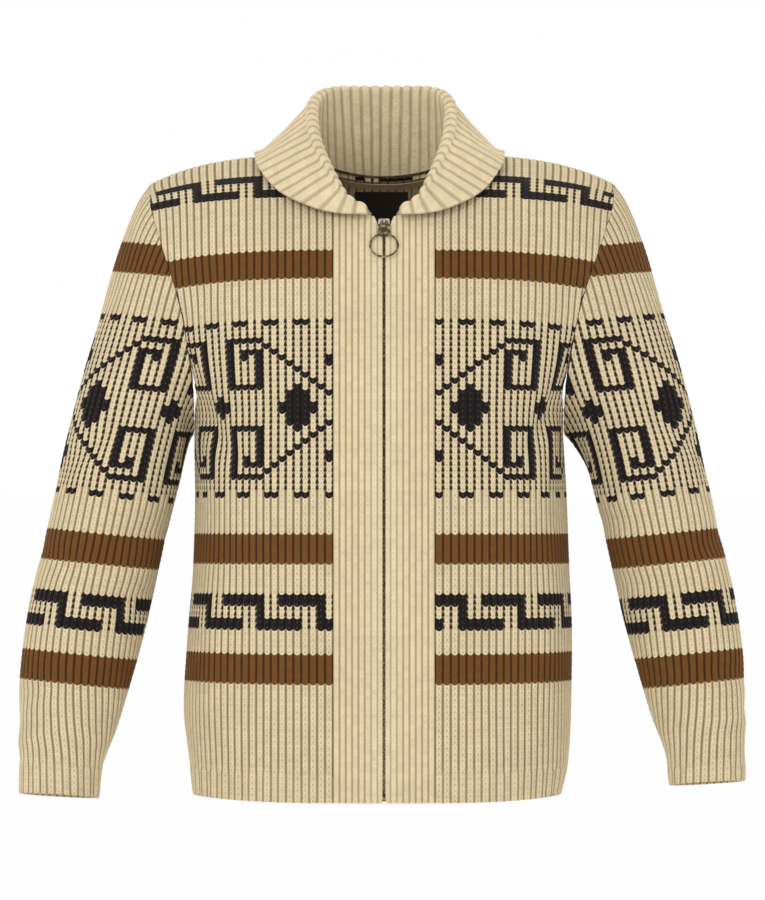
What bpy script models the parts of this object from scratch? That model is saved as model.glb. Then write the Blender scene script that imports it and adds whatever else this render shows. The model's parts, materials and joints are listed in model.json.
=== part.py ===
"""Cowichan cardigan, filled out as worn: a hollow knitted garment with a ribbed shawl collar and a zip.

Frame: the wearer faces -Y, +Z is up, and +X is the wearer's left. The origin is the middle of the neck at
the height of the shoulders, where the wearer holds the garment up. Shapes are worked out in millimetres
and turned into metres when an object is made.

The torso is one skin. It is a stack of rows of knitting, from the hem up to the ridge of the shoulders,
and every piece of the body is cut from that skin, so that neighbours meet along the same line.
"""

import math
from collections import namedtuple

import bmesh
import bpy
import numpy as np
from mathutils import Matrix, Vector
from mathutils.bvhtree import BVHTree

MM = 0.001
WALL = 4.0  # thickness of the knitted cloth
GAP = 0.3  # between two pieces at a seam
RIGHT, LEFT = -1, 1  # the wearer's sides, as the sign of x
FRONT, BACK = -1, 1  # as the sign of y

# ---------------------------------------------------------------------------------------------- torso
# One row of knitting round the torso. up: length of cloth above the hem; height: z at the middle of the
# panel; right and left: reach of each side in x; front and back: reach of the middle in y; edge_front and
# edge_back: reach in y where the panel ends, at the side seam or the armhole; turn: degrees that the row
# has turned there; droop: how far its end hangs below its middle.
Row = namedtuple("Row", "up height right left front back edge_front edge_back turn droop")
ROWS = (
    #   up  height right left front back edge_front edge_back turn droop
    Row(0, -680, 204, 189, 120, 116, 0, 0, 90, -7),
    Row(38, -642, 208, 197, 128, 123, 0, 0, 90, -6),
    Row(96, -584, 214, 200, 134, 127, 0, 0, 90, -4),
    Row(174, -506, 210, 201, 136, 125, 0, 0, 90, -2),
    Row(250, -430, 204, 198, 136, 122, 0, 0, 90, 0),
    Row(330, -350, 202, 195, 137, 127, 0, 0, 90, 0),
    Row(392, -288, 203, 192, 138, 133, 0, 0, 90, 0),
    Row(440, -240, 204, 194, 138, 138, 48, 48, 72, 3),
    Row(490, -191, 209, 200, 136, 141, 68, 68, 62, 7),
    Row(540, -143, 217, 209, 131, 140, 73, 74, 56, 10),
    Row(588, -97, 230, 223, 122, 134, 66, 70, 50, 12),
    Row(634, -58, 242, 236, 106, 121, 48, 58, 45, 13),
    Row(680, -24, 250, 245, 74, 98, 22, 36, 40, 16),
    Row(742, 12, 250, 246, -6, 6, -8, 8, 30, 32),
)
UNDERARM_UP = 392
RIDGE_UP = ROWS[-1].up
ROUNDNESS = 2 / 2.4  # power of the sine and cosine that square the rows a little
DROOP_POWER = 4
ROW_SAMPLES = 129

# Neck opening, an ellipse seen from above.
NECK_HALF_WIDTH, NECK_HALF_DEPTH, NECK_Y = 86, 92, -14

BAND_WIDTH = 54  # ribbed front band, from the middle of the zip to the panel
ZIP_SLOT = 1.6  # half of the slot between the two bands

# Mesh density of the torso. The rows crowd together where the cloth turns over the shoulder.
BODY_UPS = np.linspace(0, 392, 10)
ARMHOLE_UPS = np.array([427, 462, 497, 532, 566, 598, 628, 655, 680, 702, 719, 732, 742])
NECK_COLUMNS, SHOULDER_COLUMNS = 4, 6
BAND_DISTANCES = (ZIP_SLOT, 10.5, 24, 39, BAND_WIDTH - GAP / 2)
NOTCH_HEIGHT = -78  # where the bands part below the slider

# --------------------------------------------------------------------------------------------- sleeves
# A sleeve's section. x, y, z: its middle (x for the right sleeve is minus this); wide: half of its width
# seen from the front; deep: half of its depth.
Cuff = namedtuple("Cuff", "x y z wide deep")
SLEEVE = (
    #    x    y    z    wide deep
    Cuff(281, -6, -325, 64, 66),
    Cuff(296, -10, -390, 63, 64),
    Cuff(316, -16, -479, 63.5, 61),
    Cuff(328, -21, -536, 60, 57),
    Cuff(337, -25, -588, 54, 52),
    Cuff(345, -29, -640, 44.5, 45),
    Cuff(347, -31, -674, 42.5, 43),
)
# How each sleeve differs from the table: the wearer's left arm hangs a little higher and closer.
SLEEVE_SIDE = {
    RIGHT: {"reach": 1.0, "length": 1.0, "girth": 1.0},
    LEFT: {"reach": 0.995, "length": 0.98, "girth": 0.955},
}
CAP_RINGS, ARM_RINGS = 6, 9
CAP_OUTWARD, CAP_DOWN = 75, 60  # how strongly the cap leaves the armhole outwards and downwards

# ---------------------------------------------------------------------------------------------- collar
# A station of the collar. angle: round the neck from the front; roll: middle of the fold, where the stand
# turns over; radius: of the fold; edge: free edge of the fall.
Station = namedtuple("Station", "angle roll_x roll_y roll_z radius edge_x edge_y edge_z")
COLLAR = (
    #       angle roll_x roll_y roll_z radius edge_x edge_y edge_z
    Station(9, 17, -113, -49, 3.0, 17, -119, -53),
    Station(20, 37, -108, -38, 4.0, 44, -117, -53),
    Station(38, 50, -95, -20, 5.5, 84, -106, -42),
    Station(58, 63, -70, 3, 6.5, 115, -80, -24),
    Station(80, 74, -34, 32, 7.0, 134, -34, 2),
    Station(105, 76, 5, 57, 7.0, 136, 22, 8),
    Station(130, 66, 40, 74, 7.0, 112, 74, -4),
    Station(155, 40, 62, 79, 7.0, 66, 104, -16),
    Station(180, 0, 69, 79, 7.0, 0, 112, -20),
)
COLLAR_SIDE = {RIGHT: 1.02, LEFT: 0.95}  # the two falls spread unequally
COLLAR_WALL = 3.6
COLLAR_STEPS = 17  # from the front to the middle of the back
STAND_STEPS, ROLL_STEPS, FALL_STEPS = 3, 4, 5
FOOT_GAP = 2.4  # between the foot of the stand and the panels
COLLAR_LIFT = 3.8  # between the fall and the cloth under it

# ------------------------------------------------------------------------------------------------ trim
TAPE_WIDTH, TAPE_WALL = 13, 1.2
CHAIN_HALF, CHAIN_SUNK = 1.3, 1.0
CHAIN_TOP, TAPE_TOP = -71, -62
TRIM_WALL = 0.8
INSIDE_GAP = 1.2  # between the cloth and what is sewn inside it
NECK_TAPE_HALF, NECK_TAPE_HEIGHT, NECK_TAPE_DROP = 44, 5.5, 1.5
LABEL = {"x": (-32, 26), "z": (-23, -63)}
SIZE_TAB = {"x": (26.4, 37), "z": (-32, -53)}

# Zip slider and pull. Their frame has its origin on the pull tab's hinge, -Y away from the cloth, and it
# leans with the chest.
HINGE_HEIGHT = -62.5
HINGE_STANDOFF = 4.2  # from the bands' face to the hinge
LEAN = 22.0
SLIDER = {"width": 12.4, "height": 9.0, "depth": 5.0}
BRIDGE = {"outer": 3.0, "inner": 1.5, "width": 2.0}
TAB = {"top": 8.6, "bottom": 13.6, "length": 14.2, "wall": 1.5, "slot": 3.6, "slot_length": 6.0}
BARREL = {"outer": 2.7, "inner": 1.95, "width": 8.6}
RING = {"half_width": 14.7, "half_height": 13.2, "wire": 1.05}
RING_DROP = 0.25  # the bent top of the ring sits a little above the barrel's axis at its middle

COLOURS = {
    "cream_knit": ((0.72, 0.60, 0.38), 0.9, 0.0),
    "black_cloth": ((0.008, 0.008, 0.010), 0.8, 0.0),
    "beige_tape": ((0.62, 0.50, 0.31), 0.9, 0.0),
    "dark_brass": ((0.20, 0.14, 0.07), 0.45, 1.0),
}


# ------------------------------------------------------------------------------------------ small tools
def clear_scene():
    for obj in list(bpy.data.objects):
        bpy.data.objects.remove(obj, do_unlink=True)


def material(name):
    """The named material, made on first use."""
    made = bpy.data.materials.get(name)
    if made:
        return made
    colour, roughness, metallic = COLOURS[name]
    made = bpy.data.materials.new(name)
    made.use_nodes = True
    shader = made.node_tree.nodes["Principled BSDF"]
    shader.inputs["Base Color"].default_value = (*colour, 1.0)
    shader.inputs["Roughness"].default_value = roughness
    shader.inputs["Metallic"].default_value = metallic
    return made


def link_mesh(name, bm, finish):
    """A new object in the scene from a bmesh in metres, with its faces turned outwards."""
    bmesh.ops.recalc_face_normals(bm, faces=bm.faces)
    mesh = bpy.data.meshes.new(name)
    bm.to_mesh(mesh)
    bm.free()
    mesh.shade_smooth()
    mesh.set_sharp_from_angle(angle=math.radians(50))
    obj = bpy.data.objects.new(name, mesh)
    obj.data.materials.append(material(finish))
    bpy.context.scene.collection.objects.link(obj)
    return obj


def unit(vectors):
    return vectors / np.maximum(np.linalg.norm(vectors, axis=-1, keepdims=True), 1e-9)


def smooth_through(knots, values, at):
    """Values read from a smooth curve through (knots, values) that never swings past a value."""
    knots, values, at = np.asarray(knots, float), np.asarray(values, float), np.asarray(at, float)
    rises = np.diff(values, axis=0) / np.diff(knots).reshape((-1,) + (1,) * (values.ndim - 1))
    before, after = rises[:-1], rises[1:]
    with np.errstate(divide="ignore", invalid="ignore"):
        inner = np.where(before * after > 0, 2 * before * after / (before + after), 0.0)
    slopes = np.concatenate([rises[:1], inner, rises[-1:]])
    index = np.clip(np.searchsorted(knots, at, side="right") - 1, 0, len(knots) - 2)
    span = knots[index + 1] - knots[index]
    t = (at - knots[index]) / span
    shape = t.shape + (1,) * (values.ndim - 1)
    t, span = t.reshape(shape), span.reshape(shape)
    return (
        (2 * t**3 - 3 * t**2 + 1) * values[index]
        + (t**3 - 2 * t**2 + t) * span * slopes[index]
        + (3 * t**2 - 2 * t**3) * values[index + 1]
        + (t**3 - t**2) * span * slopes[index + 1]
    )


def grid_normals(grid, wrap=False):
    """Unit normals of a grid of points, across columns x along rows."""
    along = np.gradient(grid, axis=0)
    if wrap:
        across = np.roll(grid, -1, axis=1) - np.roll(grid, 1, axis=1)
    else:
        across = np.gradient(grid, axis=1)
    return unit(np.cross(across, along))


def facing(normals, outward):
    """The normals, each turned to the same side as the vector in outward."""
    sign = np.sign(np.sum(normals * outward, axis=-1, keepdims=True))
    return normals * np.where(sign == 0, 1, sign)


def shell(name, outer, inner, finish, wrap=False):
    """A closed wall between two grids of points in millimetres. wrap joins the last column to the first."""
    rows, columns = outer.shape[:2]
    bm = bmesh.new()
    skins = [[[bm.verts.new(Vector(point) * MM) for point in row] for row in skin] for skin in (outer, inner)]
    pairs = [(j, (j + 1) % columns) for j in range(columns if wrap else columns - 1)]
    for skin in skins:
        for i in range(rows - 1):
            for j, k in pairs:
                bm.faces.new((skin[i][j], skin[i][k], skin[i + 1][k], skin[i + 1][j]))
    for i in (0, rows - 1):
        for j, k in pairs:
            bm.faces.new((skins[0][i][j], skins[0][i][k], skins[1][i][k], skins[1][i][j]))
    if not wrap:
        for j in (0, columns - 1):
            for i in range(rows - 1):
                bm.faces.new((skins[0][i][j], skins[0][i + 1][j], skins[1][i + 1][j], skins[1][i][j]))
    return link_mesh(name, bm, finish)


# -------------------------------------------------------------------------------------- the torso's skin
def row_at(up):
    table = np.array(ROWS, float)
    return Row(*smooth_through(table[:, 0], table, np.array(up, float)))


def row_samples(side, face, up):
    """Points along one row, from the middle of the garment to the side seam or armhole."""
    row = row_at(up)
    reach = row.right if side == RIGHT else row.left
    middle = -row.front if face == FRONT else row.back
    edge = -row.edge_front if face == FRONT else row.edge_back
    angle = np.linspace(0, math.radians(row.turn), ROW_SAMPLES)
    sine, cosine = np.sin(angle) ** ROUNDNESS, np.maximum(np.cos(angle), 0) ** ROUNDNESS
    x = reach * sine / sine[-1]
    y = edge + (middle - edge) * (cosine - cosine[-1]) / (1 - cosine[-1])
    z = row.height - row.droop * (x / reach) ** DROOP_POWER
    return np.stack([side * x, y, z], axis=1)


def arc_lengths(points):
    return np.concatenate([[0], np.cumsum(np.linalg.norm(np.diff(points, axis=0), axis=1))])


def row_points(side, face, up, across):
    """Points of a row at the given fractions of its length."""
    points = row_samples(side, face, up)
    length = arc_lengths(points)
    at = np.asarray(across) * length[-1]
    return np.stack([np.interp(at, length, points[:, k]) for k in range(3)], axis=1)


def row_length(side, face, up):
    return arc_lengths(row_samples(side, face, up))[-1]


def neckline(side, face):
    """The cut of the neck on one quarter of the torso: fractions across, lengths up, and points."""
    found = []
    for up in np.linspace(600, RIDGE_UP, 143):
        points = row_samples(side, face, up)
        inside = (points[:, 0] / NECK_HALF_WIDTH) ** 2 + ((points[:, 1] - NECK_Y) / NECK_HALF_DEPTH) ** 2 - 1
        if inside[0] > 0:
            continue
        last = int(np.argmax(inside > 0)) - 1
        part = inside[last] / (inside[last] - inside[last + 1])
        length = arc_lengths(points)
        at = length[last] + part * (length[last + 1] - length[last])
        found.append((at / length[-1], up, *(points[last] + part * (points[last + 1] - points[last]))))
    found = np.array(found)
    return found[:, 0], found[:, 1], found[:, 2:]


def skin_place(side, face, up, across):
    """A point of the torso's skin and its outward normal."""
    point = row_points(side, face, up, [across])[0]
    low, high = (row_points(side, face, at, [across])[0] for at in (max(up - 2, 0), min(up + 2, RIDGE_UP)))
    near, far = row_points(side, face, up, [max(across - 0.004, 0), min(across + 0.004, 1)])
    return point, -side * face * unit(np.cross(far - near, high - low))


def panel(side, face, columns, tops=()):
    """Outer and inner skins of a panel. Each column is a function from length up to fraction across. Its
    rows above the underarm close up where the neckline, or a length in tops, cuts the column short."""
    cut_across, cut_up, _ = neckline(side, face)
    ridge = RIDGE_UP - GAP / 2
    outer, inner = [], []
    for number, column in enumerate(columns):
        middle = column(RIDGE_UP)
        top = np.interp(middle, cut_across, cut_up) if middle < cut_across[-1] - 1e-6 else ridge
        top = dict(tops).get(number, top)
        above = UNDERARM_UP + (ARMHOLE_UPS - UNDERARM_UP) * (top - UNDERARM_UP) / (RIDGE_UP - UNDERARM_UP)
        places = [skin_place(side, face, up, column(up)) for up in (*BODY_UPS, *above)]
        points, normals = (np.array(part) for part in zip(*places))
        if top == ridge:
            normals[-1] = unit(normals[-1] * np.array([1.0, 0, 1.0]))  # front and back are mitred
        outer.append(points)
        inner.append(points - WALL * normals)
    return np.array(outer).transpose(1, 0, 2), np.array(inner).transpose(1, 0, 2)


def at_distance(side, face, distance):
    """A column that keeps one distance along the cloth from the middle of the garment."""
    return lambda up: distance / row_length(side, face, up)


def at_fraction(fraction):
    return lambda up: fraction


def panel_columns(side, face, first, last_gap):
    """Columns from the first fraction at the ridge to the edge, one of them at the neck's corner."""
    corner = neckline(side, face)[0][-1]
    end = 1 - last_gap / row_length(side, face, RIDGE_UP)
    near = np.linspace(first, corner, NECK_COLUMNS + 1)
    far = np.linspace(corner, end, SHOULDER_COLUMNS + 1)
    return np.concatenate([near, far[1:]])


def outward_of(grid):
    """Away from the upright axis of the torso, and upwards near the shoulders."""
    away = grid * np.array([1.0, 1.6, 0.0])
    away[..., 2] = np.clip(grid[..., 2] + 120, 0, None) * 1.5
    return away


# ------------------------------------------------------------------------------------------ body pieces
def front_panel(side):
    """The panel between the band and the side seam. Its columns fan out evenly from the band's edge."""
    start = (BAND_WIDTH + GAP / 2) / row_length(side, FRONT, RIDGE_UP)
    fractions = panel_columns(side, FRONT, start, GAP / 2)

    def column(fraction):
        share = (fraction - fractions[0]) / (fractions[-1] - fractions[0])

        def across(up):
            first = (BAND_WIDTH + GAP / 2) / row_length(side, FRONT, up)
            return first + share * (fractions[-1] - first)

        return across

    return panel(side, FRONT, [column(fraction) for fraction in fractions])


def band_panel(side):
    """The ribbed band between the zip and the panel. Its inner corner is cut away round the slider."""
    columns = [at_distance(side, FRONT, distance) for distance in BAND_DISTANCES]
    return panel(side, FRONT, columns, {0: up_of_height(NOTCH_HEIGHT)})


def back_panel():
    halves = []
    for side in (RIGHT, LEFT):
        fractions = panel_columns(side, BACK, 0.0, GAP / 2)
        halves.append(panel(side, BACK, [at_fraction(fraction) for fraction in fractions]))
    return [np.concatenate([one[:, ::-1], other[:, 1:]], axis=1) for one, other in zip(*halves)]


def build_body():
    """Front panels, bands and back. Gives their outer skins, which the collar lies on."""
    pieces = {"back": back_panel()}
    for side, word in ((RIGHT, "right"), (LEFT, "left")):
        pieces[f"front_{word}"] = front_panel(side)
        pieces[f"band_{word}"] = band_panel(side)
    for name, (outer, inner) in pieces.items():
        shell(name, outer, inner, "cream_knit")
    return [outer for outer, _ in pieces.values()]


# --------------------------------------------------------------------------------------------- sleeves
def armhole_loop(side):
    """The armhole's points, from the underarm up the front to the ridge and down the back, with the torso's
    outward normals and the directions that lead into the hole."""
    ups = [UNDERARM_UP, *(UNDERARM_UP + (ARMHOLE_UPS - UNDERARM_UP) * (1 - GAP / 2 / (RIDGE_UP - UNDERARM_UP)))]
    quarters = [np.array([row_points(side, face, up, [0.97, 1.0]) for up in ups]) for face in (FRONT, BACK)]
    edge = np.concatenate([quarters[0][:, 1], quarters[1][-2:0:-1, 1]])
    near = np.concatenate([quarters[0][:, 0], quarters[1][-2:0:-1, 0]])
    ahead = unit(np.roll(edge, -1, axis=0) - np.roll(edge, 1, axis=0))
    into = edge - near
    into[0] = (0, 0, 1)
    into = unit(into - ahead * np.sum(into * ahead, axis=1, keepdims=True))
    return edge, ahead, into


def sleeve_sections(side, shares):
    """Middle, direction, width and depth at shares of the way down from the first section to the last."""
    scale = SLEEVE_SIDE[side]
    table = np.array(SLEEVE, float)
    table[:, 0] *= side * scale["reach"]
    table[:, 2] *= scale["length"]
    table[:, 3:] *= scale["girth"]
    length = arc_lengths(table[:, :3])
    at = np.asarray(shares) * length[-1]
    read = smooth_through(length, table, at)
    ahead = smooth_through(length, table[:, :3], at + 1) - smooth_through(length, table[:, :3], at - 1)
    return read[:, :3], unit(ahead), read[:, 3], read[:, 4]


def sleeve_rings(side, shares, count):
    """Rings of points round the arm, each starting on the side of the body and going round by the front."""
    middles, ahead, wide, deep = sleeve_sections(side, shares)
    turn = np.linspace(0, 2 * math.pi, count, endpoint=False)
    inward = unit(np.cross(ahead, np.array([0, side, 0])))
    inward = facing(inward, np.array([-side, 0, 0]))
    forward = facing(unit(np.cross(ahead, inward)), np.array([0, -1, 0]))
    return (
        middles[:, None]
        + (wide[:, None] * np.cos(turn))[..., None] * inward[:, None]
        + (deep[:, None] * np.sin(turn))[..., None] * forward[:, None]
    ), ahead


def sleeve_grid(side):
    """Outer skin of a sleeve, ring by ring from the armhole to the cuff."""
    edge, _, into = armhole_loop(side)
    arm, ahead = sleeve_rings(side, np.linspace(0, 1, ARM_RINGS + 1), len(edge))
    start = edge + GAP * into
    reach = np.linalg.norm(arm[0] - start, axis=1, keepdims=True)
    pull = np.minimum(reach / 200, 1)
    leave = pull * np.array([side * CAP_OUTWARD, 0, -CAP_DOWN])
    arrive = reach * ahead[0]
    cap = []
    for t in np.linspace(0, 1, CAP_RINGS, endpoint=False):
        cap.append(
            (2 * t**3 - 3 * t**2 + 1) * start
            + (t**3 - 2 * t**2 + t) * leave
            + (3 * t**2 - 2 * t**3) * arm[0]
            + (t**3 - t**2) * arrive
        )
    return np.concatenate([np.array(cap), arm])


def sleeve_inner(side, outer):
    """Inner side of the sleeve's wall. Its first ring doesn't lean over the edge of the panels."""
    middles = outer.mean(axis=1, keepdims=True)
    normals = facing(grid_normals(outer, wrap=True), outer - middles)
    _, _, into = armhole_loop(side)
    over = np.maximum(np.sum(normals[0] * into, axis=1, keepdims=True), 0)
    normals[0] = unit(normals[0] - over * into)
    return outer - WALL * normals


def build_sleeves():
    for side, word in ((RIGHT, "right"), (LEFT, "left")):
        outer = sleeve_grid(side)
        shell(f"sleeve_{word}", outer, sleeve_inner(side, outer), "cream_knit", wrap=True)


# ---------------------------------------------------------------------------------------------- collar
def neck_seam(side, angles):
    """Points of the neck's cut at angles round the neck, 0 in front and 180 behind."""
    parts = [neckline(side, FRONT)[2], neckline(side, BACK)[2][::-1]]
    points = np.concatenate([parts[0], parts[1][1:]])
    ahead = -(points[:, 1] - NECK_Y) / NECK_HALF_DEPTH
    around = np.degrees(np.arctan2(np.abs(points[:, 0]) / NECK_HALF_WIDTH, ahead))
    return np.stack([np.interp(angles, around, points[:, k]) for k in range(3)], axis=1)


def collar_half(side):
    """Skin of half of the collar: up the inside of the stand, over the fold and down the fall."""
    table = np.array(COLLAR, float)
    angles = np.linspace(table[0, 0], table[-1, 0], COLLAR_STEPS + 1)
    read = smooth_through(table[:, 0], table, angles)
    outward = np.stack([side * np.sin(np.radians(angles)), -np.cos(np.radians(angles)), 0 * angles], axis=1)
    upward = np.array([0.0, 0.0, 1.0])
    mirror = np.array([side * COLLAR_SIDE[side], 1, 1])
    roll, radius, edge = read[:, 1:4] * mirror, read[:, 4:5], read[:, 5:8] * mirror
    foot = neck_seam(side, angles) - (COLLAR_WALL + FOOT_GAP) * outward + FOOT_GAP * upward
    inside = roll - radius * outward
    outside = roll + radius * outward
    steps = [foot + (inside - foot) * t for t in np.linspace(0, 1, STAND_STEPS, endpoint=False)]
    for turn in np.linspace(0, math.pi, ROLL_STEPS, endpoint=False):
        steps.append(roll - radius * math.cos(turn) * outward + radius * math.sin(turn) * upward)
    steps += [outside + (edge - outside) * t for t in np.linspace(0, 1, FALL_STEPS + 1)]
    return np.array(steps)


def lift_off(points, skin, distance):
    """The points, moved away from the torso's skin until each is at least this far outside it."""
    lifted = points.copy()
    for index in np.ndindex(points.shape[:-1]):
        for _ in range(3):
            place, normal, _, _ = skin.find_nearest(Vector(lifted[index]))
            normal = np.array(normal)
            if np.dot(normal, outward_of(np.array(place)[None])[0]) < 0:
                normal = -normal
            short = distance - np.dot(lifted[index] - np.array(place), normal)
            if short > 0:
                lifted[index] += short * normal
    return lifted


def skin_tree(grids):
    points, faces = [], []
    for grid in grids:
        rows, columns = grid.shape[:2]
        start = len(points)
        points += [tuple(point) for point in grid.reshape(-1, 3)]
        for i in range(rows - 1):
            for j in range(columns - 1):
                at = start + i * columns + j
                faces.append((at, at + 1, at + columns + 1, at + columns))
    return BVHTree.FromPolygons(points, faces)


def build_collar(skins):
    halves = [collar_half(RIGHT), collar_half(LEFT)]
    grid = np.concatenate([halves[0], halves[1][:, -2::-1]], axis=1)
    fall = STAND_STEPS + ROLL_STEPS
    grid[fall:] = lift_off(grid[fall:], skin_tree(skins), COLLAR_WALL + COLLAR_LIFT)
    normals = grid_normals(grid)
    toward_neck = np.array([0, NECK_Y, 0]) - grid[0] * np.array([1, 1, 0])
    if np.sum(normals[0] * toward_neck) < 0:
        normals = -normals
    normals[0] = unit(normals[0] * np.array([1.0, 1.0, 0.0]))
    shell("collar", grid, grid - COLLAR_WALL * normals, "cream_knit")


# ------------------------------------------------------------------------------------------------ trim
def depth_at(side, face, x, z):
    """y of the torso's skin at a place seen from the front or the back."""
    heights, depths = [], []
    for up in np.linspace(0, RIDGE_UP, 150):
        points = row_samples(side, face, up)
        heights.append(np.interp(abs(x), np.abs(points[:, 0]), points[:, 2]))
        depths.append(np.interp(abs(x), np.abs(points[:, 0]), points[:, 1]))
    return float(np.interp(z, heights, depths))


def back_place(x, z):
    """A point of the back's skin, seen from the front at x and z, and its outward normal."""
    side = RIGHT if x < 0 else LEFT
    point = np.array([x, depth_at(side, BACK, x, z), z])
    right = np.array([1.0, depth_at(side, BACK, x + side, z) - point[1], 0]) * np.array([1, side, 1])
    high = np.array([0, depth_at(side, BACK, x, z + 1) - point[1], 1.0])
    return point, unit(np.cross(high, right))


def build_inside(name, places, finish):
    """A thin piece lying on the inner face of the back. places is a grid of x and z."""
    top = WALL + INSIDE_GAP
    outer, inner = [], []
    for row in places:
        skin = [back_place(x, z) for x, z in row]
        outer.append([point - top * normal for point, normal in skin])
        inner.append([point - (top + TRIM_WALL) * normal for point, normal in skin])
    shell(name, np.array(outer), np.array(inner), finish)


def build_neck_trim():
    """The tape that covers the neck seam inside the back, and the label and size tab below it."""
    seam = np.concatenate([neckline(RIGHT, BACK)[2], neckline(LEFT, BACK)[2][::-1]])
    xs = np.linspace(-NECK_TAPE_HALF, NECK_TAPE_HALF, 13)
    seam = seam[np.argsort(seam[:, 0])]
    tops = np.interp(xs, seam[:, 0], seam[:, 2])
    drops = np.linspace(NECK_TAPE_DROP, NECK_TAPE_DROP + NECK_TAPE_HEIGHT, 3)
    build_inside("neck_tape", [[(x, top - drop) for x, top in zip(xs, tops)] for drop in drops], "beige_tape")
    for name, place in (("neck_label", LABEL), ("size_tab", SIZE_TAB)):
        zs = np.linspace(*place["z"], 8)
        build_inside(name, [[(x, z) for x in np.linspace(*place["x"], 5)] for z in zs], "black_cloth")


def strip(side, ups, near, far, top, bottom):
    """Outer and inner grids of a strip along the zip: from near to far in x, from top to bottom in depth."""
    outer, inner = [], []
    for up in ups:
        spots = []
        for distance in (near(up), far(up)):
            fraction = distance / row_length(side, FRONT, up)
            low, high = (row_points(side, FRONT, up + step, [fraction])[0] for step in (-1, 1))
            spot = row_points(side, FRONT, up, [fraction])[0]
            away = unit(np.cross(high - low, np.array([1.0, 0, 0])))
            away = facing(away, np.array([0.0, -1, 0]))
            spots.append((spot - top * away, spot - bottom * away))
        outer.append([spots[0][0], spots[1][0]])
        inner.append([spots[0][1], spots[1][1]])
    return np.array(outer), np.array(inner)


def up_of_height(height):
    table = np.array(ROWS, float)
    return float(np.interp(height, table[:, 1], table[:, 0]))


def build_zip():
    """Two tapes behind the bands, and the closed chain between the bands' edges."""
    chain_ups = np.concatenate([np.linspace(14, 340, 12), np.linspace(380, up_of_height(CHAIN_TOP), 14)])
    tape_ups = np.append(chain_ups, up_of_height(TAPE_TOP))
    depth = WALL + 3 * GAP
    for side, word in ((RIGHT, "right"), (LEFT, "left")):
        outer, inner = strip(
            side, tape_ups, lambda up: CHAIN_HALF + GAP, lambda up: TAPE_WIDTH, depth, depth + TAPE_WALL
        )
        shell(f"zip_tape_{word}", outer, inner, "beige_tape")
    outer, inner = strip(LEFT, chain_ups, lambda up: CHAIN_HALF, lambda up: CHAIN_HALF, CHAIN_SUNK, depth + TAPE_WALL)
    outer[:, 0, 0], inner[:, 0, 0] = -CHAIN_HALF, -CHAIN_HALF
    outer[:, 0, 1:], inner[:, 0, 1:] = outer[:, 1, 1:], inner[:, 1, 1:]
    shell("zip_chain", outer, inner, "dark_brass")
    outer, inner = strip(LEFT, (1, 13), lambda up: 4.0, lambda up: 4.0, depth, depth + 2.6)
    outer[:, 0, 0], inner[:, 0, 0] = -4.0, -4.0
    shell("zip_box", outer, inner, "dark_brass")


# ------------------------------------------------------------------------------------------------ pull
def hardware_frame():
    """Place of the pull tab's hinge, with its lean."""
    face = depth_at(LEFT, FRONT, 0.0, HINGE_HEIGHT)
    place = Vector((0, face - HINGE_STANDOFF, HINGE_HEIGHT)) * MM
    return Matrix.Translation(place) @ Matrix.Rotation(math.radians(-LEAN), 4, "X")


def extruded(name, outline, half, finish, holes=()):
    """A plate in the YZ or XZ plane: the outline is a list of 3-D points, extruded both ways by half."""
    bm = bmesh.new()
    loops = [[bm.verts.new(Vector(point) * MM) for point in loop] for loop in (outline, *holes)]
    edges = []
    for loop in loops:
        edges += [bm.edges.new((loop[k], loop[(k + 1) % len(loop)])) for k in range(len(loop))]
    filled = bmesh.ops.triangle_fill(bm, use_beauty=True, edges=edges)
    faces = [item for item in filled["geom"] if isinstance(item, bmesh.types.BMFace)]
    shift = Vector(half) * MM
    bmesh.ops.translate(bm, verts=bm.verts, vec=-shift)
    made = bmesh.ops.extrude_face_region(bm, geom=faces, use_keep_orig=True)
    moved = [item for item in made["geom"] if isinstance(item, bmesh.types.BMVert)]
    bmesh.ops.translate(bm, verts=moved, vec=2 * shift)
    return link_mesh(name, bm, finish)


def arc(radius, start, end, steps, plane):
    """Points of an arc in the named plane, angles in degrees."""
    turn = [math.radians(start + (end - start) * k / steps) for k in range(steps + 1)]
    if plane == "YZ":
        return [(0, radius * math.cos(a), radius * math.sin(a)) for a in turn]
    return [(radius * math.cos(a), 0, radius * math.sin(a)) for a in turn]


def joined(base, *others):
    """The base with the others united to it. The others stay as hidden helpers."""
    for other in others:
        other.hide_render = True
        other.display_type = "WIRE"
        union = base.modifiers.new("join", "BOOLEAN")
        union.operation = "UNION"
        union.object = other
    return base


def build_slider(frame):
    """The slider's body, with the bridge that the tab hangs from."""
    half, height, depth = SLIDER["width"] / 2, SLIDER["height"] / 2, SLIDER["depth"]
    near = BRIDGE["outer"] - 0.6
    outline = [
        (-half * 0.55, 0, -height),
        (half * 0.55, 0, -height),
        (half, 0, -height * 0.1),
        (half, 0, height * 0.7),
        (half * 0.7, 0, height),
        (-half * 0.7, 0, height),
        (-half, 0, height * 0.7),
        (-half, 0, -height * 0.1),
    ]
    body = extruded("zip_slider", outline, (0, depth / 2, 0), "dark_brass")
    body.data.transform(Matrix.Translation(Vector((0, near + depth / 2, 0)) * MM))
    root = near + 1.0
    outer = [(0, root, -BRIDGE["outer"]), *arc(BRIDGE["outer"], 270, 90, 12, "YZ"), (0, root, BRIDGE["outer"])]
    inner = [(0, root, BRIDGE["inner"]), *arc(BRIDGE["inner"], 90, 270, 10, "YZ"), (0, root, -BRIDGE["inner"])]
    bridge = extruded("slider_bridge", outer + inner, (BRIDGE["width"] / 2, 0, 0), "dark_brass")
    joined(body, bridge)
    for piece in (body, bridge):
        piece.matrix_world = frame


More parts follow.
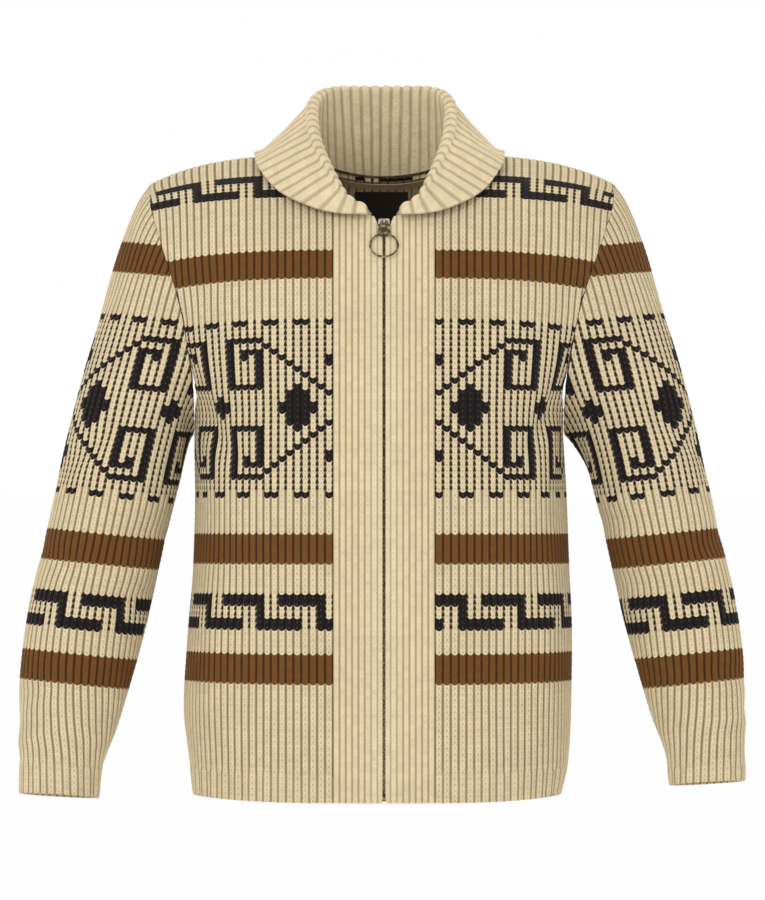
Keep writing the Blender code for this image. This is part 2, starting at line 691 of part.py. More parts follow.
def build_tab(frame):
    """The pull tab: a flared plate with a slot for the bridge and a barrel for the ring."""
    top, bottom, length = TAB["top"] / 2, TAB["bottom"] / 2, TAB["length"]
    head = TAB["wall"] / 2
    corner = 1.4
    outline = [
        (top - corner, 0, head),
        (top, 0, head - corner),
        (bottom, 0, -length + corner),
        (bottom - corner, 0, -length),
        (-bottom + corner, 0, -length),
        (-bottom, 0, -length + corner),
        (-top, 0, head - corner),
        (-top + corner, 0, head),
    ]
    half, low = TAB["slot"] / 2, -TAB["slot_length"]
    rounded = [(half * math.cos(a), 0, low + half + half * math.sin(a)) for a in np.linspace(0, -math.pi, 7)]
    slot = [(half, 0, -head), *rounded, (-half, 0, -head)]
    tab = extruded("pull_tab", outline, (0, TAB["wall"] / 2, 0), "dark_brass", holes=[slot])
    centre = Matrix.Translation(Vector((0, 0, barrel_height())) * MM)
    tube = extruded(
        "tab_barrel", arc(BARREL["outer"], 0, 345, 23, "YZ"), (BARREL["width"] / 2, 0, 0), "dark_brass"
    )
    bore = extruded(
        "tab_bore", arc(BARREL["inner"], 0, 345, 23, "YZ"), (BARREL["width"], 0, 0), "dark_brass"
    )
    below = [(-20, 0, -0.4), (20, 0, -0.4), (20, 0, -9), (-20, 0, -9)]
    mouth = extruded("tab_mouth", below, (0, 6, 0), "dark_brass")
    mouth.data.transform(Matrix.Translation(Vector((0, 0, -BARREL["outer"] + 0.2)) * MM))
    for piece in (tube, bore, mouth):
        piece.data.transform(centre)
    joined(tab, tube)
    for cutter in (bore, mouth):
        cutter.hide_render = True
        cutter.display_type = "WIRE"
        cut = tab.modifiers.new("cut", "BOOLEAN")
        cut.operation = "DIFFERENCE"
        cut.object = cutter
    for piece in (tab, tube, bore, mouth):
        piece.matrix_world = frame


def barrel_height():
    return -TAB["length"]


def build_ring(frame):
    """The oval ring, whose top runs through the tab's barrel."""
    steps, sides = 40, 8
    bm = bmesh.new()
    loops = []
    for k in range(steps):
        turn = 2 * math.pi * k / steps
        middle = np.array([RING["half_width"] * math.sin(turn), 0, RING["half_height"] * (math.cos(turn) - 1)])
        normal = unit(np.array([math.sin(turn) / RING["half_width"], 0, math.cos(turn) / RING["half_height"]]))
        loop = []
        for j in range(sides):
            a = 2 * math.pi * j / sides
            point = middle + RING["wire"] * (math.cos(a) * normal + math.sin(a) * np.array([0, 1.0, 0]))
            loop.append(bm.verts.new(Vector(point) * MM))
        loops.append(loop)
    for k in range(steps):
        for j in range(sides):
            a, b = loops[k], loops[(k + 1) % steps]
            bm.faces.new((a[j], a[(j + 1) % sides], b[(j + 1) % sides], b[j]))
    ring = link_mesh("pull_ring", bm, "dark_brass")
    ring.matrix_world = frame @ Matrix.Translation(Vector((0, 0, barrel_height() + RING_DROP)) * MM)


def main():
    clear_scene()
    skins = build_body()
    build_sleeves()
    build_collar(skins)
    build_neck_trim()
    build_zip()
    frame = hardware_frame()
    build_slider(frame)
    build_tab(frame)
    build_ring(frame)


main()
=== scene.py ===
"""Cowichan cardigan: the knitted body, sleeves and ribbed collar, the zip, and the labels inside the neck.

The wearer faces -Y, +Z is up and +X is the wearer's left. Shapes are worked out in millimetres and become
metres when a mesh is made. Every knitted piece lies on the skin of its own solid. It is laid out in stitches:
a wale is one column of stitches, a course one row of them, and a chart gives each stitch its yarn.
"""

import json
import logging
import math
from dataclasses import dataclass, field
from enum import Enum
from typing import Callable

import bmesh
import bpy
import numpy as np
from mathutils import Matrix, Vector
from mathutils.bvhtree import BVHTree

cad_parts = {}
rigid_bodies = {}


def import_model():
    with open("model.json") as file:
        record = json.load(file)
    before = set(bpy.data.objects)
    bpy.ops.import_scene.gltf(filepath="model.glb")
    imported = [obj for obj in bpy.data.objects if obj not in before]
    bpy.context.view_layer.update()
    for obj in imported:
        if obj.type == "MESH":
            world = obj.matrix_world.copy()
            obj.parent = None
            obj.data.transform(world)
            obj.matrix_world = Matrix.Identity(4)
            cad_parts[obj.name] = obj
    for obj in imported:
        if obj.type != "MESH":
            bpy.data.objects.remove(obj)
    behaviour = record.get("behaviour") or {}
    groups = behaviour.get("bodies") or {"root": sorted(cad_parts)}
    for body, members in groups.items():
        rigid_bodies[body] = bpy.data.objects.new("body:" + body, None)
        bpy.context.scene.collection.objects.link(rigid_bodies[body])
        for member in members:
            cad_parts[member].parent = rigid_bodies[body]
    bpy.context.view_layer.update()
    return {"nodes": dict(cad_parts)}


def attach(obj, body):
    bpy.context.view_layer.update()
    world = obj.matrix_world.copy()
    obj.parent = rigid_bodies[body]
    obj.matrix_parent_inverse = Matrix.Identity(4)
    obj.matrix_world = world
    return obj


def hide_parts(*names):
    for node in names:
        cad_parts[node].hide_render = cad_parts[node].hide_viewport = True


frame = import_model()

LOG = logging.getLogger("cardigan")
Array = np.ndarray
Socket = bpy.types.NodeSocket

MM = 0.001
WALL = 4.0  # thickness of the knitted cloth
GAP = 0.3  # between two pieces at a seam
BAND_EDGE = 54.0  # from the middle of the zip to the seam of the front band


class Side(Enum):
    """The wearer's sides, as the sign of x."""

    RIGHT = -1
    LEFT = 1

    @property
    def word(self) -> str:
        """The side's name in a node's name."""
        return self.name.lower()


class Face(Enum):
    """Front and back, as the sign of y."""

    FRONT = -1
    BACK = 1


class Yarn(Enum):
    """The three yarns, as the value that the wool's material reads."""

    CREAM = 0
    BROWN = 1
    BLACK = 2


# ------------------------------------------------------------------------------------------ small tools
def unit(vectors: Array) -> Array:
    """Each vector at length one."""
    return vectors / np.maximum(np.linalg.norm(vectors, axis=-1, keepdims=True), 1e-9)


def facing(vectors: Array, outward: Array) -> Array:
    """Each vector, turned to the same side as outward."""
    sign = np.sign(np.sum(vectors * outward, axis=-1, keepdims=True))
    return vectors * np.where(sign == 0, 1, sign)


def arc_lengths(points: Array) -> Array:
    """Length along a line of points, up to each of them."""
    return np.concatenate([[0], np.cumsum(np.linalg.norm(np.diff(points, axis=0), axis=1))])


def resampled(points: Array, count: int) -> Array:
    """The same line with count points, spaced evenly along it.

    Args:
        points: the line, one point a row.
        count: how many points to return.

    Returns:
        The new points.
    """
    length = arc_lengths(points)
    at = np.linspace(0, length[-1], count)
    return np.stack([np.interp(at, length, points[:, k]) for k in range(3)], axis=1)


def smooth_through(knots: Array, values: Array, at: Array) -> Array:
    """Values on a smooth curve through the knots that never swings past a value.

    Args:
        knots: places of the values, rising.
        values: one value or one row of values a knot.
        at: places to read the curve at.

    Returns:
        The curve's values at those places.
    """
    knots, values, at = np.asarray(knots, float), np.asarray(values, float), np.asarray(at, float)
    rises = np.diff(values, axis=0) / np.diff(knots).reshape((-1,) + (1,) * (values.ndim - 1))
    before, after = rises[:-1], rises[1:]
    with np.errstate(divide="ignore", invalid="ignore"):
        inner = np.where(before * after > 0, 2 * before * after / (before + after), 0.0)
    slopes = np.concatenate([rises[:1], inner, rises[-1:]])
    index = np.clip(np.searchsorted(knots, at, side="right") - 1, 0, len(knots) - 2)
    span = knots[index + 1] - knots[index]
    t = (at - knots[index]) / span
    shape = t.shape + (1,) * (values.ndim - 1)
    t, span = t.reshape(shape), span.reshape(shape)
    return (
        (2 * t**3 - 3 * t**2 + 1) * values[index]
        + (t**3 - 2 * t**2 + t) * span * slopes[index]
        + (3 * t**2 - 2 * t**3) * values[index + 1]
        + (t**3 - t**2) * span * slopes[index + 1]
    )


def spline(values: Array, at: Array, wrap: bool = False) -> Array:
    """Values on a Catmull-Rom curve through evenly spaced rows of values.

    Args:
        values: rows of values, one at each whole number.
        at: places to read the curve at, in row numbers.
        wrap: whether the last row leads back to the first.

    Returns:
        The curve's rows at those places.
    """
    count = len(values)
    low = np.floor(at).astype(int)
    if not wrap:
        low = np.clip(low, 0, count - 2)
    t = (at - low).reshape((-1,) + (1,) * (values.ndim - 1))

    def row(shift: int) -> Array:
        """The values a number of steps away from each place.

        Args:
            shift: steps from the interval that holds the place.

        Returns:
            The values there, carried on in a straight line past an open end.
        """
        index = low + shift
        if wrap:
            return values[index % count]
        inside = values[np.clip(index, 0, count - 1)]
        before, after = 2 * values[0] - values[1], 2 * values[-1] - values[-2]
        inside = np.where(_column(index >= count, values), after, inside)
        return np.where(_column(index < 0, values), before, inside)

    a, b, c, d = row(-1), row(0), row(1), row(2)
    return b + 0.5 * t * (c - a + t * (2 * a - 5 * b + 4 * c - d + t * (3 * (b - c) + d - a)))


def _column(flags: Array, values: Array) -> Array:
    """Flags shaped to choose between rows of values."""
    return flags.reshape((-1,) + (1,) * (values.ndim - 1))


def smoothstep(low: float, high: float, value: Array) -> Array:
    """0 below low, 1 above high, and a soft rise between."""
    t = np.clip((value - low) / (high - low), 0, 1)
    return t * t * (3 - 2 * t)


# ----------------------------------------------------------------------------------------------- skins
@dataclass
class Skin:
    """A curved sheet of cloth that is read by height and by distance along its row.

    Attributes:
        heights: the rows' own measure, rising.
        points: (rows, samples, 3), evenly spaced along each row.
        lengths: length of each row.
        normals: outward normals at the points.
    """

    heights: Array
    points: Array
    lengths: Array
    normals: Array

    @classmethod
    def from_rows(cls, heights: Array, points: Array, outward: Array) -> "Skin":
        """A skin from its rows of points.

        Args:
            heights: the rows' own measure, rising.
            points: (rows, samples, 3), evenly spaced along each row.
            outward: directions that show roughly which side is the outside.

        Returns:
            The skin with its lengths and normals.
        """
        steps = np.linalg.norm(np.diff(points, axis=1), axis=2)
        across, up = np.gradient(points, axis=1), np.gradient(points, axis=0)
        normals = facing(unit(np.cross(across, up)), outward)
        return cls(heights, points, steps.sum(axis=1), normals)

    def length(self, height: Array) -> Array:
        """Length of the row at each height."""
        return np.interp(height, self.heights, self.lengths)

    def place(self, height: Array, distance: Array) -> tuple[Array, Array]:
        """Points of the skin and their outward normals.

        Args:
            height: heights of the places.
            distance: distances along the rows from their start.

        Returns:
            Points and unit normals, each with one more axis of three.
        """
        height, distance = np.broadcast_arrays(np.asarray(height, float), np.asarray(distance, float))
        height = np.clip(height, self.heights[0], self.heights[-1])
        row = np.clip(np.searchsorted(self.heights, height, side="right") - 1, 0, len(self.heights) - 2)
        part = ((height - self.heights[row]) / (self.heights[row + 1] - self.heights[row]))[..., None]
        last = self.points.shape[1] - 1
        share = np.clip(distance / np.maximum(self.length(height), 1e-3), 0, 1) * last
        column = np.clip(share.astype(int), 0, last - 1)
        along = (share - column)[..., None]
        found = []
        for table in (self.points, self.normals):
            low = table[row, column] * (1 - along) + table[row, column + 1] * along
            high = table[row + 1, column] * (1 - along) + table[row + 1, column + 1] * along
            found.append(low * (1 - part) + high * part)
        return found[0], unit(found[1])


@dataclass(frozen=True)
class Torso:
    """The body of the cardigan as one skin, from the hem up to the ridge of the shoulders."""

    # up, height, right, left, front, back, edge_front, edge_back, turn, droop
    rows: tuple = (
        (0, -680, 204, 189, 120, 116, 0, 0, 90, -7),
        (38, -642, 208, 197, 128, 123, 0, 0, 90, -6),
        (96, -584, 214, 200, 134, 127, 0, 0, 90, -4),
        (174, -506, 210, 201, 136, 125, 0, 0, 90, -2),
        (250, -430, 204, 198, 136, 122, 0, 0, 90, 0),
        (330, -350, 202, 195, 137, 127, 0, 0, 90, 0),
        (392, -288, 203, 192, 138, 133, 0, 0, 90, 0),
        (440, -240, 204, 194, 138, 138, 48, 48, 72, 3),
        (490, -191, 209, 200, 136, 141, 68, 68, 62, 7),
        (540, -143, 217, 209, 131, 140, 73, 74, 56, 10),
        (588, -97, 230, 223, 122, 134, 66, 70, 50, 12),
        (634, -58, 242, 236, 106, 121, 48, 58, 45, 13),
        (680, -24, 250, 245, 74, 98, 22, 36, 40, 16),
        (742, 12, 250, 246, -6, 6, -8, 8, 30, 32),
    )
    underarm: float = 392.0
    ridge: float = 742.0
    roundness: float = 2 / 2.4
    droop_power: int = 4
    samples: int = 129
    row_step: float = 2.0
    neck_half_width: float = 86.0
    neck_half_depth: float = 92.0
    neck_y: float = -14.0

    def row(self, side: Side, face: Face, up: float) -> Array:
        """Points along one row, from the middle of the garment to the side seam or armhole.

        Args:
            side: the wearer's side.
            face: front or back.
            up: length of cloth above the hem.

        Returns:
            The points of the row.
        """
        table = np.array(self.rows, float)
        _, height, right, left, front, back, edge_front, edge_back, turn, droop = smooth_through(
            table[:, 0], table, np.array(up, float)
        )
        reach = right if side is Side.RIGHT else left
        middle = -front if face is Face.FRONT else back
        edge = -edge_front if face is Face.FRONT else edge_back
        angle = np.linspace(0, math.radians(turn), self.samples)
        sine = np.sin(angle) ** self.roundness
        cosine = np.maximum(np.cos(angle), 0) ** self.roundness
        x = reach * sine / sine[-1]
        y = edge + (middle - edge) * (cosine - cosine[-1]) / (1 - cosine[-1])
        z = height - droop * (x / reach) ** self.droop_power
        return np.stack([side.value * x, y, z], axis=1)

    def skin(self, side: Side, face: Face) -> Skin:
        """One quarter of the torso. Its heights are lengths of cloth above the hem.

        Args:
            side: the wearer's side.
            face: front or back.

        Returns:
            The skin of that quarter.
        """
        ups = np.unique(np.append(np.arange(0, self.ridge, self.row_step), self.ridge))
        points = np.array([resampled(self.row(side, face, up), self.samples) for up in ups])
        outward = points * np.array([1.0, 1.6, 0.0])
        outward[..., 2] = np.clip(points[..., 2] + 120, 0, None) * 1.5
        made = Skin.from_rows(ups, points, outward)
        made.normals[-1] = unit(made.normals[-1] * np.array([1.0, 0.0, 1.0]))  # front and back are mitred
        return made

    def neck_cut(self, side: Side, face: Face) -> tuple[Array, Array, Array]:
        """The cut of the neck on one quarter of the torso.

        Args:
            side: side of the quarter.
            face: front or back.

        Returns:
            Distances along the rows where they are cut, their lengths up, and the points of the cut.
        """
        found = []
        for up in np.linspace(600, self.ridge, 143):
            points = self.row(side, face, up)
            across = points[:, 0] / self.neck_half_width
            inside = across**2 + ((points[:, 1] - self.neck_y) / self.neck_half_depth) ** 2 - 1
            if inside[0] > 0:
                continue
            last = int(np.argmax(inside > 0)) - 1
            part = inside[last] / (inside[last] - inside[last + 1])
            length = arc_lengths(points)
            at = length[last] + part * (length[last + 1] - length[last])
            found.append((at, up, *(points[last] + part * (points[last + 1] - points[last]))))
        found = np.array(found)
        return found[:, 0], found[:, 1], found[:, 2:]

    def seam_of_neck(self, side: Side, angles: Array) -> Array:
        """Points of the neck's cut at angles round the neck, 0 in front and 180 behind.

        Args:
            side: the wearer's side.
            angles: angles in degrees.

        Returns:
            One point for each angle.
        """
        front, back = self.neck_cut(side, Face.FRONT)[2], self.neck_cut(side, Face.BACK)[2][::-1]
        points = np.concatenate([front, back[1:]])
        ahead = -(points[:, 1] - self.neck_y) / self.neck_half_depth
        around = np.degrees(np.arctan2(np.abs(points[:, 0]) / self.neck_half_width, ahead))
        return np.stack([np.interp(angles, around, points[:, k]) for k in range(3)], axis=1)


TORSO = Torso()
BODY_SKINS = {(side, face): TORSO.skin(side, face) for side in Side for face in Face}


# ---------------------------------------------------------------------------------------------- stitches
@dataclass(frozen=True)
class Gauge:
    """Size of a stitch, and how finely it is modelled."""

    wale: float = 8.5
    course: float = 6.4
    columns: int = 6
    rows: int = 2
    chevron: float = 0.42  # how far a stitch's middle hangs below its sides, in courses

    def sag(self, across: Array, courses: Array, last: float) -> Array:
        """How far each point of a stitch hangs, in courses. It fades at the first and last rows."""
        fade = np.clip(np.minimum(courses / 1.5, (last - courses) / 1.5), 0, 1)
        return self.chevron * np.abs(np.sin(math.pi * across)) * fade


@dataclass(frozen=True)
class Chart:
    """The knitting chart. Courses count up from the hem, and wales from where each piece starts."""

    stripes: tuple = ((20, 25), (40, 45), (88, 93))
    keys: tuple = ((29, 35), (104, 110))
    motif: tuple = (51, 81)
    rib: int = 5
    repeat: int = 34
    spiral: tuple = ("#####", "#....", "#.###", "#.#.#", "#...#", "#...#", "#...#", "#...#", "#####")
    spiral_rows: tuple = (3, 18)
    diamond: tuple = (2, 6, 8, 6, 2)
    bud: tuple = (2, 4, 2)
    crossing: int = 15

    def mark_column(self, grid: Array, wale: int, centre: float, height: int) -> None:
        """Fills a column of the motif, height rows tall, round a centre between two rows."""
        low = int(round(centre + 0.5 - height / 2))
        grid[low : low + height, wale] = True

    def motif_grid(self) -> Array:
        """The motif as (30 rows, 18 wales): from the bud at wale -2 to the crossing at wale 15.

        Returns:
            Yarn numbers, row by row from the top.
        """
        rows = self.motif[1] - self.motif[0]
        middle = (rows - 1) / 2
        grid = np.zeros((rows, 18), bool)
        shift = 2
        for turned, top in zip((False, True), self.spiral_rows):
            lines = self.spiral[::-1] if turned else self.spiral
            for row, line in enumerate(lines):
                for wale, mark in enumerate(line):
                    grid[top + row, wale + shift] |= mark == "#"
        for step in range(5, self.crossing + 1):
            grid[step - 1, step + shift] = True
            grid[rows - step, step + shift] = True
        for wale, height in zip(range(7, 12), self.diamond):
            self.mark_column(grid, wale + shift, middle, height)
        for wale, height in zip(range(13, 16), self.diamond):
            for centre in (middle - 8, middle + 8):
                self.mark_column(grid, wale + shift, centre, height)
        for wale, height in zip((0, 1), self.bud[1:]):
            self.mark_column(grid, wale, middle, height)
        return grid

    def yarns(self, wales: Array, courses: Array, key_wales: Array) -> tuple[Array, Array]:
        """The yarn of each stitch.

        Args:
            wales: whole wale numbers in the motif's own count.
            courses: whole course numbers above the hem.
            key_wales: whole wale numbers in the key band's count, rising towards +X.

        Returns:
            The yarn's number for each stitch, and 1 where a second yarn floats behind it.
        """
        yarn = np.zeros(np.broadcast(wales, courses).shape)
        floats = np.zeros_like(yarn)
        for low, high in self.stripes:
            yarn[(courses >= low) & (courses < high)] = Yarn.BROWN.value
        folded = (wales + 2) % self.repeat
        folded = np.where(folded > 17, self.repeat - folded, folded)
        row = self.motif[1] - 1 - courses
        inside = (row >= 0) & (row < self.motif[1] - self.motif[0])
        grid = self.motif_grid()
        marked = grid[np.clip(row, 0, len(grid) - 1), folded]
        dashes = ((row == 0) | (row == len(grid) - 1)) & np.isin(wales % 4, (1, 2))
        yarn[inside & (marked | dashes)] = Yarn.BLACK.value
        floats[inside & (row < len(grid) - 1)] = 1
        for low, high in self.keys:
            row = high - 1 - courses
            step = key_wales % 8
            bars = ((row >= 0) & (row <= 1) & (step <= 5)) | ((row >= 2) & (row <= 3) & (step == 5))
            bars |= (row >= 4) & (row <= 5) & np.isin(step, (5, 6, 7, 0, 1, 2))
            yarn[bars] = Yarn.BLACK.value
            floats[(row >= 0) & (row <= 5)] = 1
        return yarn, floats


GAUGE = Gauge()
CHART = Chart()


@dataclass
class Lattice:
    """A sheet of points laid out in rows and columns, some of which are gathered onto the sheet's edges.

    Attributes:
        outer: points of the outer skin, in millimetres.
        inner: points of the inner skin.
        stitches: wale and course at each point.
        ids: number of the point that each place uses.
        paint: (rows - 1, columns - 1, 4) what the material reads on each face.
    """

    outer: Array
    inner: Array
    stitches: Array
    ids: Array
    paint: Array
    block: tuple = (8, 6)

    def _cells(self) -> tuple[Array, Array, Array]:
        """Point numbers, stitches and paint at the corners of each face of the outer skin.

        Returns:
            Point numbers, stitches and paint, four to a face.
        """
        corners = [(slice(None, -1), slice(None, -1)), (slice(None, -1), slice(1, None))]
        corners += [(slice(1, None), slice(1, None)), (slice(1, None), slice(None, -1))]
        ids = np.stack([self.ids[c] for c in corners], axis=-1).reshape(-1, 4)
        stitches = np.stack([self.stitches[c] for c in corners], axis=-2).reshape(-1, 4, 2)
        paint = np.repeat(self.paint.reshape(-1, 1, 4), 4, axis=1)
        return ids, stitches, paint

    def _inner_faces(self) -> list[list[tuple[int, int]]]:
        """Faces of the inner skin as places: large blocks, and single cells where the edge cuts a block.

        Returns:
            For each face, its places as pairs of row and column.
        """
        rows, columns = self.ids.shape
        own = np.arange(rows * columns).reshape(rows, columns)
        gathered = self.ids != own
        tall, wide = self.block
        row_stops = sorted({*range(0, rows - 1, tall), rows - 1})
        column_stops = sorted({*range(0, columns - 1, wide), columns - 1})
        used = np.zeros((rows, columns), bool)
        used[[0, -1]] = True
        used[:, [0, -1]] = True
        used[np.ix_(row_stops, column_stops)] = True
        fine, coarse = [], []
        for r0, r1 in zip(row_stops, row_stops[1:]):
            for c0, c1 in zip(column_stops, column_stops[1:]):
                near = gathered[max(r0 - 1, 0) : r1 + 2, max(c0 - 1, 0) : c1 + 2]
                if near.any():
                    fine.append((r0, r1, c0, c1))
                    used[r0 : r1 + 1, c0 : c1 + 1] = True
                else:
                    coarse.append((r0, r1, c0, c1))
        faces = []
        for r0, r1, c0, c1 in fine:
            for r in range(r0, r1):
                faces += [[(r, c), (r, c + 1), (r + 1, c + 1), (r + 1, c)] for c in range(c0, c1)]
        for r0, r1, c0, c1 in coarse:
            ring = [(r0, c) for c in range(c0, c1)] + [(r, c1) for r in range(r0, r1)]
            ring += [(r1, c) for c in range(c1, c0, -1)] + [(r, c0) for r in range(r1, r0, -1)]
            faces.append([place for place in ring if used[place]])
        return faces

    def build(self, name: str) -> bpy.types.Object:
        """The sheet as a closed shell.

        Args:
            name: name of the object.

        Returns:
            The object, with its stitches as a UV map and its paint as a colour attribute.
        """
        total = self.ids.size
        ids, stitches, paint = self._cells()
        kept = ids != np.roll(ids, -1, axis=1)
        whole = kept.sum(axis=1) >= 3
        ids, stitches, paint, kept = ids[whole], stitches[whole], paint[whole], kept[whole]
        sizes = kept.sum(axis=1)
        loops, loop_stitches, loop_paint = ids[kept], stitches[kept], paint[kept]
        starts = np.concatenate([[0], np.cumsum(sizes)[:-1]])
        following = np.arange(len(loops)) + 1
        following[starts + sizes - 1] = starts
        ends = np.stack([loops, loops[following]], axis=1)
        keys = np.sort(ends, axis=1)
        _, first, counts = np.unique(keys, axis=0, return_index=True, return_counts=True)
        rim = first[counts == 1]

        faces, face_stitches, face_paint = [], [], []
        plain = np.array([0.0, 0.0, 0.0, 1.0])
        for ring in self._inner_faces():
            numbers = [int(self.ids[place]) for place in ring]
            keep = [k for k in range(len(numbers)) if numbers[k] != numbers[(k + 1) % len(numbers)]]
            if len(keep) < 3:
                continue
            keep = keep[::-1]
            faces.append([numbers[k] + total for k in keep])
            face_stitches += [self.stitches[ring[k]] for k in keep]
            face_paint += [plain] * len(keep)
        for edge in rim:
            a, b = int(ends[edge, 0]), int(ends[edge, 1])
            after = following[edge]
            faces.append([b, a, a + total, b + total])
            near, far = loop_stitches[edge], loop_stitches[after]
            face_stitches += [far, near, near, far]
            face_paint += [loop_paint[edge]] * 4

        points = np.concatenate([self.outer.reshape(-1, 3), self.inner.reshape(-1, 3)]) * MM
        extra = np.array([number for face in faces for number in face])
        every = np.concatenate([loops, extra])
        used, every = np.unique(every, return_inverse=True)
        all_sizes = np.concatenate([sizes, [len(face) for face in faces]])
        all_starts = np.concatenate([[0], np.cumsum(all_sizes)[:-1]])
        mesh = bpy.data.meshes.new(name)
        mesh.vertices.add(len(used))
        mesh.vertices.foreach_set("co", points[used].ravel())
        mesh.loops.add(len(every))
        mesh.loops.foreach_set("vertex_index", every.ravel().astype(np.int32))
        mesh.polygons.add(len(all_starts))
        mesh.polygons.foreach_set("loop_start", all_starts.astype(np.int32))
        uv = mesh.uv_layers.new(name="stitches")
        uv.data.foreach_set("uv", np.concatenate([loop_stitches, np.array(face_stitches)]).ravel())
        colour = mesh.color_attributes.new("yarn", "FLOAT_COLOR", "CORNER")
        colour.data.foreach_set("color", np.concatenate([loop_paint, np.array(face_paint)]).ravel())
        mesh.update(calc_edges=True)
        mesh.validate()
        return finished_object(name, mesh)


def finished_object(name: str, mesh: bpy.types.Mesh) -> bpy.types.Object:
    """A smooth object at the origin from a closed mesh, with its faces turned outwards.

    Args:
        name: name of the object.
        mesh: its closed mesh.

    Returns:
        The object.
    """
    bm = bmesh.new()
    bm.from_mesh(mesh)
    bmesh.ops.recalc_face_normals(bm, faces=bm.faces)
    bm.to_mesh(mesh)
    bm.free()
    mesh.shade_smooth()
    mesh.set_sharp_from_angle(angle=math.radians(60))
    obj = bpy.data.objects.new(name, mesh)
    bpy.context.scene.collection.objects.link(obj)
    return obj


# ------------------------------------------------------------------------------------------ soft creases
@dataclass(frozen=True)
class Crease:
    """A soft trough or ridge in the cloth.

    Attributes:
        up: height of its middle.
        across: distance of its middle along the row, signed on a piece with two sides.
        long: half of its length.
        wide: half of its width.
        lean: degrees from the row, turned towards the top.
        depth: how far it sinks at its middle, below zero for a ridge.
    """

    up: float
    across: float
    long: float
    wide: float
    lean: float
    depth: float


def crease_depth(creases: tuple, up: Array, across: Array) -> Array:
    """How far the cloth sinks at each place, for all its creases together.

    Args:
        creases: the creases.
        up: height of each place.
        across: distance of each place across the cloth.

    Returns:
        Depth at each place, in millimetres.
    """
    sunk = np.zeros(np.broadcast(up, across).shape)
    for crease in creases:
        lean = math.radians(crease.lean)
        right, high = across - crease.across, up - crease.up
        along = right * math.cos(lean) + high * math.sin(lean)
        off = -right * math.sin(lean) + high * math.cos(lean) + 0.0016 * along**2
        sunk += crease.depth * np.exp(-((along / crease.long) ** 2) - (off / crease.wide) ** 2)
    return sunk


